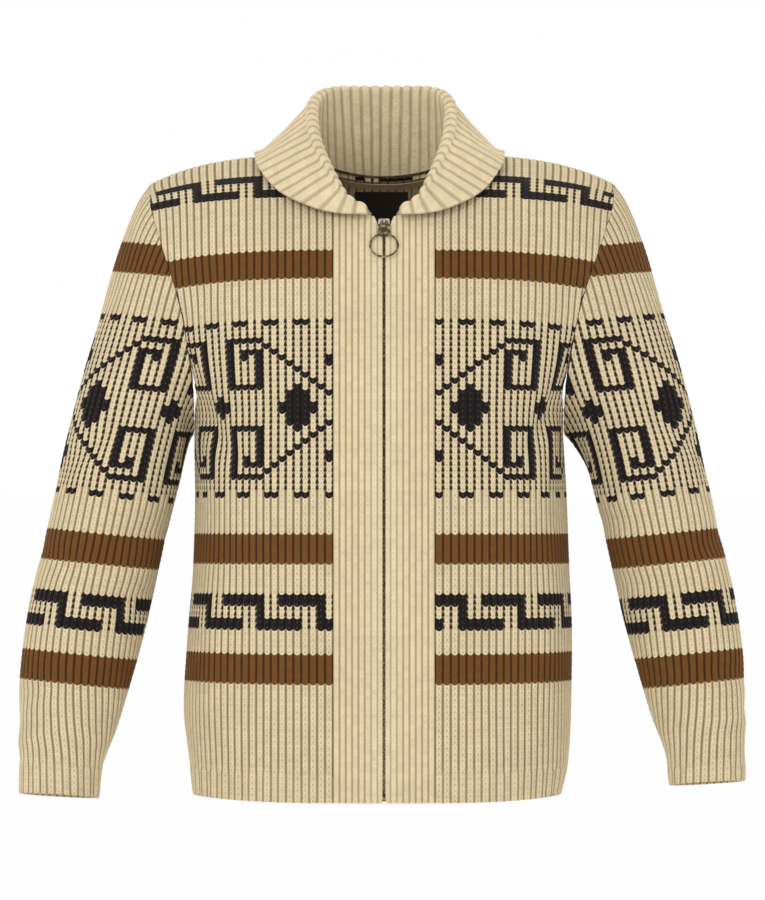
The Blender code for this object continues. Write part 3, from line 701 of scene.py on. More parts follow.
# ---------------------------------------------------------------------------------------- knitted pieces
@dataclass
class KnitPiece:
    """A piece of stocking stitch on one or two skins.

    Attributes:
        name: name of the new piece.
        skins: the skin for distances below zero, if any, and the one for the rest.
        first: distance where the piece starts, below zero where it has two sides.
        offset: wale number at distance zero.
        motif: turns a whole wale number into the motif's count.
        key: turns a whole wale number into the key band's count.
        top: height where each distance is cut off, or None.
        low: lowest height. high: highest height. zero: height of course zero.
        tube: whether the two ends of a row are sewn together below seam_top.
    """

    name: str
    skins: tuple
    first: float
    offset: float
    motif: Callable[[Array], Array]
    key: Callable[[Array], Array]
    top: Callable[[Array], Array] | None = None
    low: float = 0.0
    high: float = TORSO.ridge - GAP / 2
    zero: float = 0.0
    tube: bool = False
    seam_top: float = 0.0
    creases: tuple = ()
    rib_courses: int = CHART.rib

    def place(self, height: Array, distance: Array) -> tuple[Array, Array]:
        """Points and normals of the piece's skin, sunk where it has creases.

        Args:
            height: height on the skin.
            distance: distance along the row.

        Returns:
            Points and normals.
        """
        points, normals = self.skins[-1].place(height, np.abs(distance))
        if len(self.skins) == 2:
            other, other_normals = self.skins[0].place(height, np.abs(distance))
            left = np.broadcast_to((distance < 0)[..., None], points.shape)
            points, normals = np.where(left, other, points), np.where(left, other_normals, normals)
        sunk = crease_depth(self.creases, height, distance)
        return points - sunk[..., None] * normals, normals

    def relief(self, across: Array, courses: Array, wales: Array) -> Array:
        """Height of the stitches above the skin: rounded columns, each creased, and ribbed at the hem.

        Args:
            across: place across each stitch.
            courses: course of each point.
            wales: wale of each point.

        Returns:
            Heights in millimetres.
        """
        body = np.abs(np.sin(math.pi * across)) ** 0.6
        crease = np.exp(-(((across - 0.5) / 0.12) ** 2))
        bead = 0.20 * np.cos(2 * math.pi * (courses - 0.5)) * body
        plain = -1.5 + 2.0 * body - 0.42 * crease + bead
        rib = -1.7 + 2.3 * np.abs(np.sin(math.pi * wales / 2)) ** 0.8 + 0.4 * bead
        share = smoothstep(self.rib_courses - 0.4, self.rib_courses + 0.4, courses)
        return plain * share + rib * (1 - share)

    def lattice(self) -> Lattice:
        """The piece's points, stitches and yarns.

        Returns:
            The lattice.
        """
        step = GAUGE.wale / GAUGE.columns
        reach = max(skin.lengths.max() for skin in self.skins)
        start = self.first if self.first >= 0 else math.ceil(-reach / step) * step
        count = math.ceil((reach - start) / step)
        distance = start + step * np.arange(count + 1)
        height_span = self.high - self.low
        lines = int(round(height_span / GAUGE.course * GAUGE.rows))
        heights = np.linspace(self.low, self.high, lines + 1)
        courses = (heights - self.zero) / GAUGE.course
        wales = distance / GAUGE.wale + self.offset
        across = wales - np.floor(wales + 1e-9)

        course_grid = np.repeat(courses[:, None], len(distance), axis=1)
        sag = GAUGE.sag(across[None], course_grid - courses[0], courses[-1] - courses[0])
        height_grid = heights[:, None] - GAUGE.course * sag
        distance_grid = np.repeat(distance[None], len(heights), axis=0)
        right = self.skins[-1].length(heights)
        left = self.skins[0].length(heights) if len(self.skins) == 2 else None

        rows, columns = height_grid.shape
        ids = np.arange(rows * columns).reshape(rows, columns)
        slack = step * 0.35
        for row in range(rows):
            limit = right[row] - GAP / 2
            last = min(int(np.searchsorted(distance, limit - slack)), columns - 1)
            distance_grid[row, last:] = limit
            height_grid[row, last:] = heights[row]
            ids[row, last:] = ids[row, last]
            if left is not None:
                limit = -(left[row] - GAP / 2)
                begin = max(int(np.searchsorted(distance, limit + slack)) - 1, 0)
                distance_grid[row, : begin + 1] = limit
                height_grid[row, : begin + 1] = heights[row]
                ids[row, : begin + 1] = ids[row, begin]
                if self.tube and heights[row] <= self.seam_top:
                    ids[row, last:] = ids[row, begin]
        if self.top is not None:
            top = self.top(distance)
            for column in range(columns):
                over = np.flatnonzero(height_grid[:, column] >= top[column] - 0.6)
                if len(over):
                    height_grid[over, column] = top[column]
                    inside = over[distance_grid[over, column] == distance[column]]
                    if len(inside):
                        ids[inside, column] = ids[inside[0], column]

        points, normals = self.place(height_grid, distance_grid)
        wale_grid = distance_grid / GAUGE.wale + self.offset
        within = wale_grid - np.floor(wale_grid + 1e-9)
        lift = self.relief(within, course_grid, wale_grid)
        edge = np.minimum((height_grid - self.low) / 3, 1)
        outer = points + (lift * np.clip(edge, 0.25, 1))[..., None] * normals
        inner = points - WALL * normals

        middle = (distance[:-1] + distance[1:]) / 2 / GAUGE.wale + self.offset
        wale_number = np.floor(middle).astype(int)[None]
        course_number = np.floor((courses[:-1] + courses[1:]) / 2 + 1e-6).astype(int)[:, None]
        wale_number, course_number = np.broadcast_arrays(wale_number, course_number)
        yarn, floats = CHART.yarns(self.motif(wale_number), course_number, self.key(wale_number))
        paint = np.stack([yarn / 2, floats, np.zeros_like(yarn), np.ones_like(yarn)], axis=-1)
        stitches = np.stack([wale_grid, course_grid + 0 * wale_grid], axis=-1)
        return Lattice(outer, inner, stitches, ids, paint)

    def build(self) -> bpy.types.Object:
        """The piece as a closed shell."""
        return self.lattice().build(self.name)


# ----------------------------------------------------------------------------------------------- finishes
class Graph:
    """A material's node graph, written as short sums."""

    def __init__(self, name: str) -> None:
        """Starts the graph of a new material with its shader.

        Args:
            name: name of the material.
        """
        self.material = bpy.data.materials.new(name)
        self.material.use_nodes = True
        self.nodes = self.material.node_tree.nodes
        self.links = self.material.node_tree.links
        self.shader = self.nodes["Principled BSDF"]

    def feed(self, socket: Socket, value: "Socket | float | tuple") -> None:
        """Links a socket, or sets its value."""
        if isinstance(value, bpy.types.NodeSocket):
            self.links.new(value, socket)
        else:
            socket.default_value = value

    def math(self, kind: str, first: "Socket | float", second: "Socket | float" = 0.0) -> Socket:
        """One sum of two numbers.

        Args:
            kind: the operation.
            first: first number or socket.
            second: second number or socket.

        Returns:
            The result.
        """
        node = self.nodes.new("ShaderNodeMath")
        node.operation = kind
        self.feed(node.inputs[0], first)
        self.feed(node.inputs[1], second)
        return node.outputs[0]

    def step(self, value: "Socket | float", low: float, high: float, to: tuple = (0.0, 1.0)) -> Socket:
        """A soft step of a number between two limits.

        Args:
            value: the number.
            low: where the step starts.
            high: where it ends.
            to: what it returns at the two ends.

        Returns:
            The stepped number.
        """
        node = self.nodes.new("ShaderNodeMapRange")
        node.interpolation_type = "SMOOTHSTEP"
        self.feed(node.inputs["Value"], value)
        for name, number in zip(("From Min", "From Max", "To Min", "To Max"), (low, high, *to)):
            node.inputs[name].default_value = number
        return node.outputs[0]

    def oval(self, x: Socket, y: Socket, wide: float, tall: float) -> Socket:
        """1 inside a soft oval, 0 outside.

        Args:
            x: distance across.
            y: distance along.
            wide: half width.
            tall: half height.

        Returns:
            The mask.
        """
        first = self.math("POWER", self.math("DIVIDE", x, wide), 2.0)
        second = self.math("POWER", self.math("DIVIDE", y, tall), 2.0)
        return self.step(self.math("ADD", first, second), 0.35, 1.25, (1.0, 0.0))

    def mix(self, share: "Socket | float", first: "Socket | tuple", second: "Socket | tuple") -> Socket:
        """A colour between two colours.

        Args:
            share: share of the second.
            first: first colour.
            second: second colour.

        Returns:
            The colour.
        """
        node = self.nodes.new("ShaderNodeMix")
        node.data_type = "RGBA"
        self.feed(node.inputs[0], share)
        self.feed(node.inputs[6], first)
        self.feed(node.inputs[7], second)
        return node.outputs[2]

    def tint(self, colour: Socket, amount: "Socket | float") -> Socket:
        """A colour times a number.

        Args:
            colour: the colour.
            amount: what it is multiplied by.

        Returns:
            The colour.
        """
        node = self.nodes.new("ShaderNodeVectorMath")
        node.operation = "SCALE"
        self.feed(node.inputs[0], colour)
        self.feed(node.inputs["Scale"], amount)
        return node.outputs[0]

    def noise(self, coordinates: Socket, scale: float, detail: float = 2.0) -> Socket:
        """Soft noise from 0 to 1.

        Args:
            coordinates: where it is read.
            scale: how fine it is.
            detail: how many finer layers it has.

        Returns:
            The noise.
        """
        node = self.nodes.new("ShaderNodeTexNoise")
        self.feed(node.inputs["Vector"], coordinates)
        node.inputs["Scale"].default_value = scale
        node.inputs["Detail"].default_value = detail
        return node.outputs["Fac"]

    def object_place(self) -> Socket:
        """Object coordinates."""
        return self.nodes.new("ShaderNodeTexCoord").outputs["Object"]

    def map(self, name: str) -> tuple[Socket, Socket, Socket]:
        """A UV map of the piece, with its two parts.

        Args:
            name: name of the map.

        Returns:
            The map and its two parts.
        """
        node = self.nodes.new("ShaderNodeUVMap")
        node.uv_map = name
        parts = self.nodes.new("ShaderNodeSeparateXYZ")
        self.links.new(node.outputs[0], parts.inputs[0])
        return node.outputs[0], parts.outputs[0], parts.outputs[1]

    def bump(self, height: Socket, distance: float, strength: float = 1.0) -> None:
        """Feeds the shader's normal from a height.

        Args:
            height: the height.
            distance: depth of the bump in metres.
            strength: how strongly it shows.
        """
        node = self.nodes.new("ShaderNodeBump")
        node.inputs["Strength"].default_value = strength
        node.inputs["Distance"].default_value = distance
        self.links.new(height, node.inputs["Height"])
        self.links.new(node.outputs[0], self.shader.inputs["Normal"])

    def constants(self, **values: "float | tuple") -> None:
        """Sets the shader's own sockets; an underscore stands for a space."""
        for name, value in values.items():
            self.shader.inputs[name.replace("_", " ")].default_value = value


@dataclass(frozen=True)
class Wool:
    """Thick wool in stocking stitch or rib, with painted shade in its grooves, stitch holes and joins.
    Colours are linear.
    """

    name: str
    cream: tuple = (0.660, 0.545, 0.345, 1)
    brown: tuple = (0.152, 0.060, 0.010, 1)
    black: tuple = (0.010, 0.007, 0.008, 1)
    # painted shade: the colour that grooves, stitch holes and joins darken to on cream yarn
    shade: tuple = (0.130, 0.085, 0.035, 1)
    # near black: painted shade in the grooves, holes and joins of brown and black yarn, and also the real
    # dark yarn of the floats
    gap: tuple = (0.012, 0.008, 0.006, 1)
    # how strongly the painted shade darkens grooves, holes and joins; the join value also sets the depth of
    # the joins' bump
    groove_shade: float = 0.72
    hole_shade: float = 0.34
    join_shade_and_bump: float = 0.16
    bump_mm: float = 0.6

    def material(self) -> bpy.types.Material:
        """The wool's material, which reads the stitches map and the yarn attribute.

        Returns:
            The material.
        """
        graph = Graph(self.name)
        place, wale, course = graph.map("stitches")
        paint = graph.nodes.new("ShaderNodeVertexColor")
        paint.layer_name = "yarn"
        split = graph.nodes.new("ShaderNodeSeparateColor")
        graph.links.new(paint.outputs["Color"], split.inputs[0])
        yarn, floats = split.outputs[0], split.outputs[1]

        across = graph.math("SUBTRACT", graph.math("FRACT", wale), 0.5)
        side = graph.math("ABSOLUTE", across)
        height = graph.math("SUBTRACT", graph.math("FRACT", course), 0.5)
        rise = graph.math("ABSOLUTE", height)
        to_groove = graph.math("SUBTRACT", 0.5, side)
        groove = graph.step(to_groove, 0.03, 0.25, (1.0, 0.0))
        hole = graph.oval(side, height, 0.11, 0.26)
        dot = graph.oval(to_groove, graph.math("ADD", height, 0.04), 0.25, 0.46)
        join = graph.step(rise, 0.36, 0.5)

        fibre = graph.noise(graph.object_place(), 900.0, 3.0)
        cloud = graph.noise(graph.object_place(), 14.0, 2.0)
        cells = graph.nodes.new("ShaderNodeTexWhiteNoise")
        cells.noise_dimensions = "2D"
        whole = graph.nodes.new("ShaderNodeVectorMath")
        whole.operation = "FLOOR"
        graph.links.new(place, whole.inputs[0])
        graph.links.new(whole.outputs[0], cells.inputs["Vector"])

        is_dark = graph.step(yarn, 0.2, 0.4)
        is_black = graph.step(yarn, 0.6, 0.9)
        base = graph.mix(is_dark, self.cream, self.brown)
        base = graph.mix(is_black, base, self.black)
        tone = graph.math("ADD", graph.math("MULTIPLY", cells.outputs[0], 0.10), 0.95)
        tone = graph.math("MULTIPLY", tone, graph.math("ADD", graph.math("MULTIPLY", cloud, 0.16), 0.92))
        tone = graph.math("MULTIPLY", tone, graph.math("ADD", graph.math("MULTIPLY", fibre, 0.30), 0.85))
        base = graph.tint(base, tone)

        floating = graph.math("MULTIPLY", floats, dot)
        dark_dot = graph.math("MULTIPLY", floating, 0.93)
        # painted shade: grooves between wales, stitch holes and the joins between courses are darkened
        # towards the shade colour, or near black on dark yarn
        shadow = graph.math("MULTIPLY", groove, self.groove_shade)
        shadow = graph.math("MAXIMUM", shadow, graph.math("MULTIPLY", hole, self.hole_shade))
        shadow = graph.math("MAXIMUM", shadow, graph.math("MULTIPLY", join, self.join_shade_and_bump))
        speck = graph.math("MULTIPLY", graph.math("MULTIPLY", hole, is_dark), 1.0)
        base = graph.mix(shadow, base, graph.mix(is_dark, self.shade, self.gap))
        base = graph.mix(dark_dot, base, self.gap)
        base = graph.mix(graph.math("MULTIPLY", speck, 0.25), base, (0.11, 0.10, 0.11, 1))
        graph.links.new(base, graph.shader.inputs["Base Color"])

        ply = graph.math("ADD", graph.math("MULTIPLY", course, 3.0), graph.math("MULTIPLY", side, 5.0))
        ply = graph.math("MULTIPLY", graph.math("SINE", graph.math("MULTIPLY", ply, 2 * math.pi)), 0.10)
        relief = graph.math("SUBTRACT", graph.math("MULTIPLY", fibre, 0.45), groove)
        relief = graph.math("SUBTRACT", relief, graph.math("MULTIPLY", hole, 0.8))
        relief = graph.math("SUBTRACT", relief, graph.math("MULTIPLY", join, 3 * self.join_shade_and_bump))
        relief = graph.math("ADD", relief, ply)
        graph.bump(relief, self.bump_mm * MM)
        graph.constants(Roughness=0.92, Sheen_Weight=0.07, Sheen_Roughness=0.45, Specular_IOR_Level=0.15)
        graph.constants(Sheen_Tint=(1.0, 0.93, 0.80, 1.0))
        return graph.material


@dataclass(frozen=True)
class Metal:
    """Dark brass, rubbed lighter where hands touch it."""

    name: str
    dark: tuple = (0.060, 0.045, 0.030, 1)
    rubbed: tuple = (0.36, 0.27, 0.15, 1)

    def material(self) -> bpy.types.Material:
        """The metal's material on object coordinates.

        Returns:
            The material.
        """
        graph = Graph(self.name)
        place = graph.object_place()
        patches = graph.noise(place, 260.0, 4.0)
        worn = graph.step(patches, 0.42, 0.72)
        colour = graph.mix(worn, self.dark, self.rubbed)
        graph.links.new(colour, graph.shader.inputs["Base Color"])
        graph.links.new(graph.step(patches, 0.3, 0.8, (0.5, 0.3)), graph.shader.inputs["Roughness"])
        graph.bump(graph.noise(place, 1400.0, 3.0), 0.00008)
        graph.constants(Metallic=1.0)
        return graph.material


@dataclass(frozen=True)
class Woven:
    """A thin woven cloth or tape, with a twill that leans across it."""

    name: str
    colour: tuple
    edge: tuple
    thread_mm: float = 0.7
    gloss: float = 0.75

    def material(self) -> bpy.types.Material:
        """The cloth's material, which reads the weave map in millimetres.

        Returns:
            The material.
        """
        graph = Graph(self.name)
        _, x, y = graph.map("weave")
        turn = 2 * math.pi / self.thread_mm
        first = graph.math("SINE", graph.math("MULTIPLY", graph.math("ADD", x, y), turn))
        second = graph.math("SINE", graph.math("MULTIPLY", graph.math("SUBTRACT", x, y), turn / 2))
        weave = graph.math("MULTIPLY", graph.math("ADD", first, graph.math("MULTIPLY", second, 0.4)), 0.5)
        fleck = graph.noise(graph.object_place(), 1200.0, 2.0)
        tone = graph.math("ADD", graph.math("MULTIPLY", weave, 0.14), graph.math("ADD", fleck, 0.5))
        base = graph.tint(graph.mix(graph.step(weave, -0.4, 0.6), self.edge, self.colour), tone)
        graph.links.new(base, graph.shader.inputs["Base Color"])
        graph.bump(weave, 0.00012)
        graph.constants(Roughness=self.gloss, Sheen_Weight=0.15, Sheen_Roughness=0.4)
        return graph.material


WOOL = Wool("cardigan_wool")
RIB_WOOL = Wool("ribbed_wool", groove_shade=0.50, hole_shade=0.08, join_shade_and_bump=0.04, bump_mm=0.4)
COLLAR_WOOL = Wool("collar_wool", groove_shade=0.42, hole_shade=0.0, join_shade_and_bump=0.05, bump_mm=0.5)


def dress(obj: bpy.types.Object, material: bpy.types.Material) -> None:
    """Gives an object one material on all its faces."""
    obj.data.materials.clear()
    obj.data.materials.append(material)


def place_piece(obj: bpy.types.Object, slot: str, *nodes: str, body: str = "root") -> bpy.types.Object:
    """Rides a piece on a body and hides the solids that it replaces.

    Args:
        obj: the new piece.
        slot: the record's material slot; not used.
        nodes: the solids that it replaces.
        body: the body that it moves with.

    Returns:
        The same object.
    """
    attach(obj, body)
    if nodes:
        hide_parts(*nodes)
    LOG.info("%s: %d faces", obj.name, len(obj.data.polygons))
    return obj


# --------------------------------------------------------------------------------------------------- body
def neck_top(side: Side, face: Face) -> Callable[[Array], Array]:
    """A function from distance along the rows to the height where the neck cuts them off.

    Args:
        side: the wearer's side.
        face: front or back.

    Returns:
        The function.
    """
    cut, up, _ = TORSO.neck_cut(side, face)
    ridge = TORSO.ridge - GAP / 2

    def top(distance: Array) -> Array:
        """The neck's cut above each distance.

        Args:
            distance: distances along the rows.

        Returns:
            Heights where the rows end.
        """
        found = np.interp(np.abs(distance), cut, up)
        return np.where(np.abs(distance) >= cut[-1] - 1e-6, ridge, np.minimum(found, ridge))

    return top


@dataclass
class Body:
    """The back and the two front panels."""

    front_first: float = BAND_EDGE + GAP / 2
    front_flat: tuple = (0.216, 0.742)
    front_area: float = 0.142
    back_flat: tuple = (0.540, 0.742)
    back_area: float = 0.375
    front_motif_start: int = 13
    key_start: dict = field(default_factory=lambda: {Side.RIGHT: 6, Side.LEFT: 2})
    front_creases: tuple = (
        Crease(425, 225, 60, 17, 38, 4.5),
        Crease(392, 205, 52, 14, 28, 3.0),
        Crease(470, 232, 40, 12, 55, 3.0),
        Crease(300, 232, 90, 26, 76, 3.2),
        Crease(170, 196, 95, 22, 84, -2.6),
        Crease(120, 128, 110, 24, 88, 2.2),
        Crease(560, 190, 60, 20, -38, 2.6),
        Crease(250, 90, 120, 30, 86, -1.8),
    )
    back_creases: tuple = (
        Crease(430, 236, 60, 18, 40, 4.5),
        Crease(425, -232, 66, 18, -38, 4.5),
        Crease(380, 210, 50, 14, 24, 3.0),
        Crease(372, -214, 46, 15, -30, 3.2),
        Crease(300, 90, 130, 26, 84, 3.0),
        Crease(280, -105, 120, 24, -82, 3.0),
        Crease(130, 30, 110, 26, 88, 3.2),
        Crease(110, -150, 100, 22, -86, -2.6),
        Crease(520, 120, 70, 20, 30, 2.4),
        Crease(515, -118, 66, 22, -34, 2.4),
        Crease(620, 0, 80, 18, 0, 2.0),
    )

    def front(self, side: Side) -> KnitPiece:
        """The knitting of one front panel.

        Args:
            side: the wearer's side.

        Returns:
            The panel.
        """
        start = self.front_motif_start

        def motif(wales: Array) -> Array:
            """The motif's wale at each wale of the panel."""
            return start - wales

        def key(wales: Array) -> Array:
            """The key's wale at each wale of the panel."""
            return side.value * wales + self.key_start[side]

        skin = BODY_SKINS[side, Face.FRONT]
        creases = self.front_creases
        if side is Side.LEFT:
            creases = tuple(
                Crease(c.up + 14, c.across - 9, c.long * 0.9, c.wide, c.lean + 5, c.depth) for c in creases
            )
        return KnitPiece(
            f"front_{side.word}_knit", (skin,), self.front_first, -self.front_first / GAUGE.wale,
            motif, key, top=neck_top(side, Face.FRONT), creases=creases,
        )

    def back(self) -> KnitPiece:
        """The knitting of the back, with a crossing of the motif on its middle.

        Returns:
            The panel.
        """
        tops = [neck_top(side, Face.BACK) for side in (Side.RIGHT, Side.LEFT)]

        def top(distance: Array) -> Array:
            """The neck's cut above each distance, on either side."""
            return np.where(distance < 0, tops[0](distance), tops[1](distance))

        def motif(wales: Array) -> Array:
            """The motif's wale at each wale of the back."""
            return CHART.crossing - np.abs(wales)

        def key(wales: Array) -> Array:
            """The key's wale at each wale of the back."""
            return wales

        skins = (BODY_SKINS[Side.RIGHT, Face.BACK], BODY_SKINS[Side.LEFT, Face.BACK])
        return KnitPiece("back_knit", skins, -1.0, 0.5, motif, key, top=top, creases=self.back_creases)

    def build(self, wool: bpy.types.Material) -> None:
        """Builds and dresses the three pieces.

        Args:
            wool: material of the stocking stitch.
        """
        back = self.back().build()
        dress(back, wool)
        place_piece(back, "knit", "back")
        for side in Side:
            front = self.front(side).build()
            dress(front, wool)
            place_piece(front, "knit", f"front_{side.word}")


# ------------------------------------------------------------------------------------------------- sleeves
@dataclass
class Sleeve:
    """One sleeve, as slices square to the arm. A slice above the underarm is open on the armhole's side."""

    side: Side
    # x, y, z, wide, deep
    sections: tuple = (
        (281, -6, -325, 64, 66),
        (296, -10, -390, 63, 64),
        (316, -16, -479, 63.5, 61),
        (328, -21, -536, 60, 57),
        (337, -25, -588, 54, 52),
        (345, -29, -640, 44.5, 45),
        (347, -31, -674, 42.5, 43),
    )
    scales: dict = field(
        default_factory=lambda: {Side.RIGHT: (1.0, 1.0, 1.0), Side.LEFT: (0.995, 0.98, 0.955)}
    )
    armhole_ups: tuple = (427, 462, 497, 532, 566, 598, 628, 655, 680, 702, 719, 732, 742)
    cap_rings: int = 6
    arm_rings: int = 9
    slice_samples: int = 97
    leave: tuple = (75.0, -60.0)
    tilt: float = 0.10  # how far the courses slope, outwards and up
    level_out: tuple = (560.0, 650.0)  # depth where the courses turn to follow the cuff's own edge
    flat: tuple = (0.420, 0.680)
    area: float = 0.225
    key_start: dict = field(default_factory=lambda: {Side.RIGHT: 5, Side.LEFT: 2})
    creases: tuple = (
        Crease(-300, 70, 60, 16, 34, 4.0),
        Crease(-335, -80, 66, 16, -30, 4.0),
        Crease(-262, 96, 44, 13, 50, 3.4),
        Crease(-400, 120, 70, 15, 20, 3.6),
        Crease(-430, 60, 60, 14, -16, 3.2),
        Crease(-462, 130, 64, 15, 14, 3.6),
        Crease(-495, -110, 66, 16, -18, 3.2),
        Crease(-420, -140, 60, 15, -22, 3.4),
        Crease(-560, 70, 60, 13, 12, 3.0),
        Crease(-590, -40, 56, 12, -10, 2.8),
        Crease(-612, 60, 60, 10, 5, -2.2),
        Crease(-625, -70, 60, 10, -6, 2.6),
        Crease(-150, 20, 70, 22, 60, 2.4),
    )

    def armhole(self) -> tuple[Array, Array]:
        """The armhole's loop and the directions that lead into the hole.

        Returns:
            The loop and the directions.
        """
        squeeze = 1 - GAP / 2 / (TORSO.ridge - TORSO.underarm)
        ups = [TORSO.underarm, *(TORSO.underarm + (np.array(self.armhole_ups) - TORSO.underarm) * squeeze)]
        quarters = []
        for face in Face:
            rows = [TORSO.row(self.side, face, up) for up in ups]
            ends = [
                [np.interp(0.97 * arc_lengths(r)[-1], arc_lengths(r), r[:, k]) for k in range(3)]
                for r in rows
            ]
            quarters.append(np.stack([np.array(ends), np.array([row[-1] for row in rows])], axis=1))
        edge = np.concatenate([quarters[0][:, 1], quarters[1][-2:0:-1, 1]])
        near = np.concatenate([quarters[0][:, 0], quarters[1][-2:0:-1, 0]])
        ahead = unit(np.roll(edge, -1, axis=0) - np.roll(edge, 1, axis=0))
        into = edge - near
        into[0] = (0, 0, 1)
        return edge, unit(into - ahead * np.sum(into * ahead, axis=1, keepdims=True))

    def rings(self) -> tuple[Array, Array]:
        """Rings of points from the armhole to the cuff, and the height measure of each point.

        Returns:
            The rings, and a height for each of their points.
        """
        edge, into = self.armhole()
        reach_scale, length_scale, girth_scale = self.scales[self.side]
        table = np.array(self.sections, float)
        table[:, 0] *= self.side.value * reach_scale
        table[:, 2] *= length_scale
        table[:, 3:] *= girth_scale
        length = arc_lengths(table[:, :3])
        at = np.linspace(0, 1, self.arm_rings + 1) * length[-1]
        read = smooth_through(length, table, at)
        step = smooth_through(length, table[:, :3], at + 1) - smooth_through(length, table[:, :3], at - 1)
        ahead = unit(step)
        turn = np.linspace(0, 2 * math.pi, len(edge), endpoint=False)
        inward = unit(np.cross(ahead, np.array([0, self.side.value, 0])))
        inward = facing(inward, np.array([-self.side.value, 0, 0]))
        forward = facing(unit(np.cross(ahead, inward)), np.array([0, -1, 0]))
        wide, deep = read[:, 3], read[:, 4]
        arm = read[:, None, :3] + (wide[:, None] * np.cos(turn))[..., None] * inward[:, None]
        arm = arm + (deep[:, None] * np.sin(turn))[..., None] * forward[:, None]
        start = edge + GAP * into
        reach = np.linalg.norm(arm[0] - start, axis=1, keepdims=True)
        leave = np.minimum(reach / 200, 1) * np.array([self.side.value * self.leave[0], 0, self.leave[1]])
        arrive = reach * ahead[0]
        t = np.linspace(0, 1, self.cap_rings, endpoint=False)[:, None, None]
        cap = (2 * t**3 - 3 * t**2 + 1) * start + (t**3 - 2 * t**2 + t) * leave
        cap = cap + (3 * t**2 - 2 * t**3) * arm[0] + (t**3 - t**2) * arrive
        rings = np.concatenate([cap, arm])
        lean = (abs(table[1, 0]) - abs(table[0, 0])) / (table[1, 2] - table[0, 2])
        axis = np.interp(-rings[..., 2], -table[:, 2], np.abs(table[:, 0]))
        axis = axis + lean * np.maximum(rings[..., 2] - table[0, 2], 0)
        tilted = rings[..., 2] - self.tilt * (np.abs(rings[..., 0]) - axis)
        height = np.concatenate([cap[..., 2], np.repeat(read[:, None, 2], len(edge), axis=1)])
        near_cuff = smoothstep(*self.level_out, -rings[..., 2])
        return rings, tilted * (1 - near_cuff) + height * near_cuff

    def skins(self) -> tuple[Skin, Skin]:
        """The back and front halves of the sleeve, each read from the outer side towards the body.

        Returns:
            The back half and the front half.
        """
        rings, heights = self.rings()
        along = np.linspace(0, len(rings) - 1, 151)
        around = np.linspace(0, rings.shape[1], 240, endpoint=False)
        fine = spline(rings, along)
        fine_heights = spline(heights[..., None], along)[..., 0]
        fine = spline(fine.transpose(1, 0, 2), around, wrap=True)
        fine_heights = spline(fine_heights.T, around, wrap=True)
        fine_heights = np.minimum.accumulate(fine_heights, axis=1)
        fine_heights -= np.arange(fine_heights.shape[1]) * 1e-5
        low = fine_heights[:, -1].max()
        tops = fine_heights[:, 0]
        levels = np.linspace(low, tops.max() - 0.8, 231)
        sliced = np.empty((len(around), len(levels), 3))
        for k in range(len(around)):
            for axis in range(3):
                sliced[k, :, axis] = np.interp(-levels, -fine_heights[k], fine[k, :, axis])
        half = len(around) // 2
        halves = []
        for order in (np.arange(half, len(around) + 1) % len(around), np.arange(half, -1, -1)):
            lines = [
                self.slice(sliced[order, row], tops[order], fine[order, 0], level)
                for row, level in enumerate(levels)
            ]
            points = np.array(lines)
            middle = points.mean(axis=1, keepdims=True) - np.array([self.side.value * 30.0, 0, 0])
            halves.append(Skin.from_rows(levels, points, points - middle))
        return halves[0], halves[1]

    def slice(self, points: Array, tops: Array, armhole: Array, level: float) -> Array:
        """One slice of half of the sleeve, cut off where it reaches the armhole.

        Args:
            points: points of the slice, from the outer side towards the body.
            tops: height measure of the armhole above each point.
            armhole: points of the armhole above each point.
            level: height measure of the slice.

        Returns:
            Points evenly spaced along the slice.
        """
        above = np.flatnonzero(tops < level)
        if not len(above):
            return resampled(points, self.slice_samples)
        end = above[0]
        if end == 0:
            return resampled(np.stack([armhole[0], armhole[0] + np.array([0, 0.5, 0])]), self.slice_samples)
        part = (tops[end - 1] - level) / (tops[end - 1] - tops[end])
        last = armhole[end - 1] + part * (armhole[end] - armhole[end - 1])
        return resampled(np.concatenate([points[:end], last[None]]), self.slice_samples)

    def build(self, wool: bpy.types.Material) -> None:
        """Builds and dresses the sleeve.

        Args:
            wool: material of the stocking stitch.
        """
        back, front = self.skins()
        sign = self.side.value

        def motif(wales: Array) -> Array:
            """The motif's wale at each wale of the sleeve."""
            return CHART.crossing - np.abs(wales)

        def key(wales: Array) -> Array:
            """The key's wale at each wale of the sleeve."""
            return -sign * wales + self.key_start[self.side]

        creases = self.creases
        if self.side is Side.LEFT:
            creases = tuple(
                Crease(c.up + 17, c.across * 0.9, c.long, c.wide, c.lean - 6, c.depth) for c in creases
            )
        underarm = TORSO.skin(self.side, Face.FRONT).points[int(TORSO.underarm / TORSO.row_step), -1, 2]
        piece = KnitPiece(
            f"sleeve_{self.side.word}_knit", (back, front), -1.0, 0.5, motif, key,
            low=back.heights[0], high=back.heights[-1], zero=-680.0,
            tube=True, seam_top=underarm - 3.0, creases=creases, rib_courses=6,
        )
        obj = piece.build()
        dress(obj, wool)
        place_piece(obj, "knit", f"sleeve_{self.side.word}")


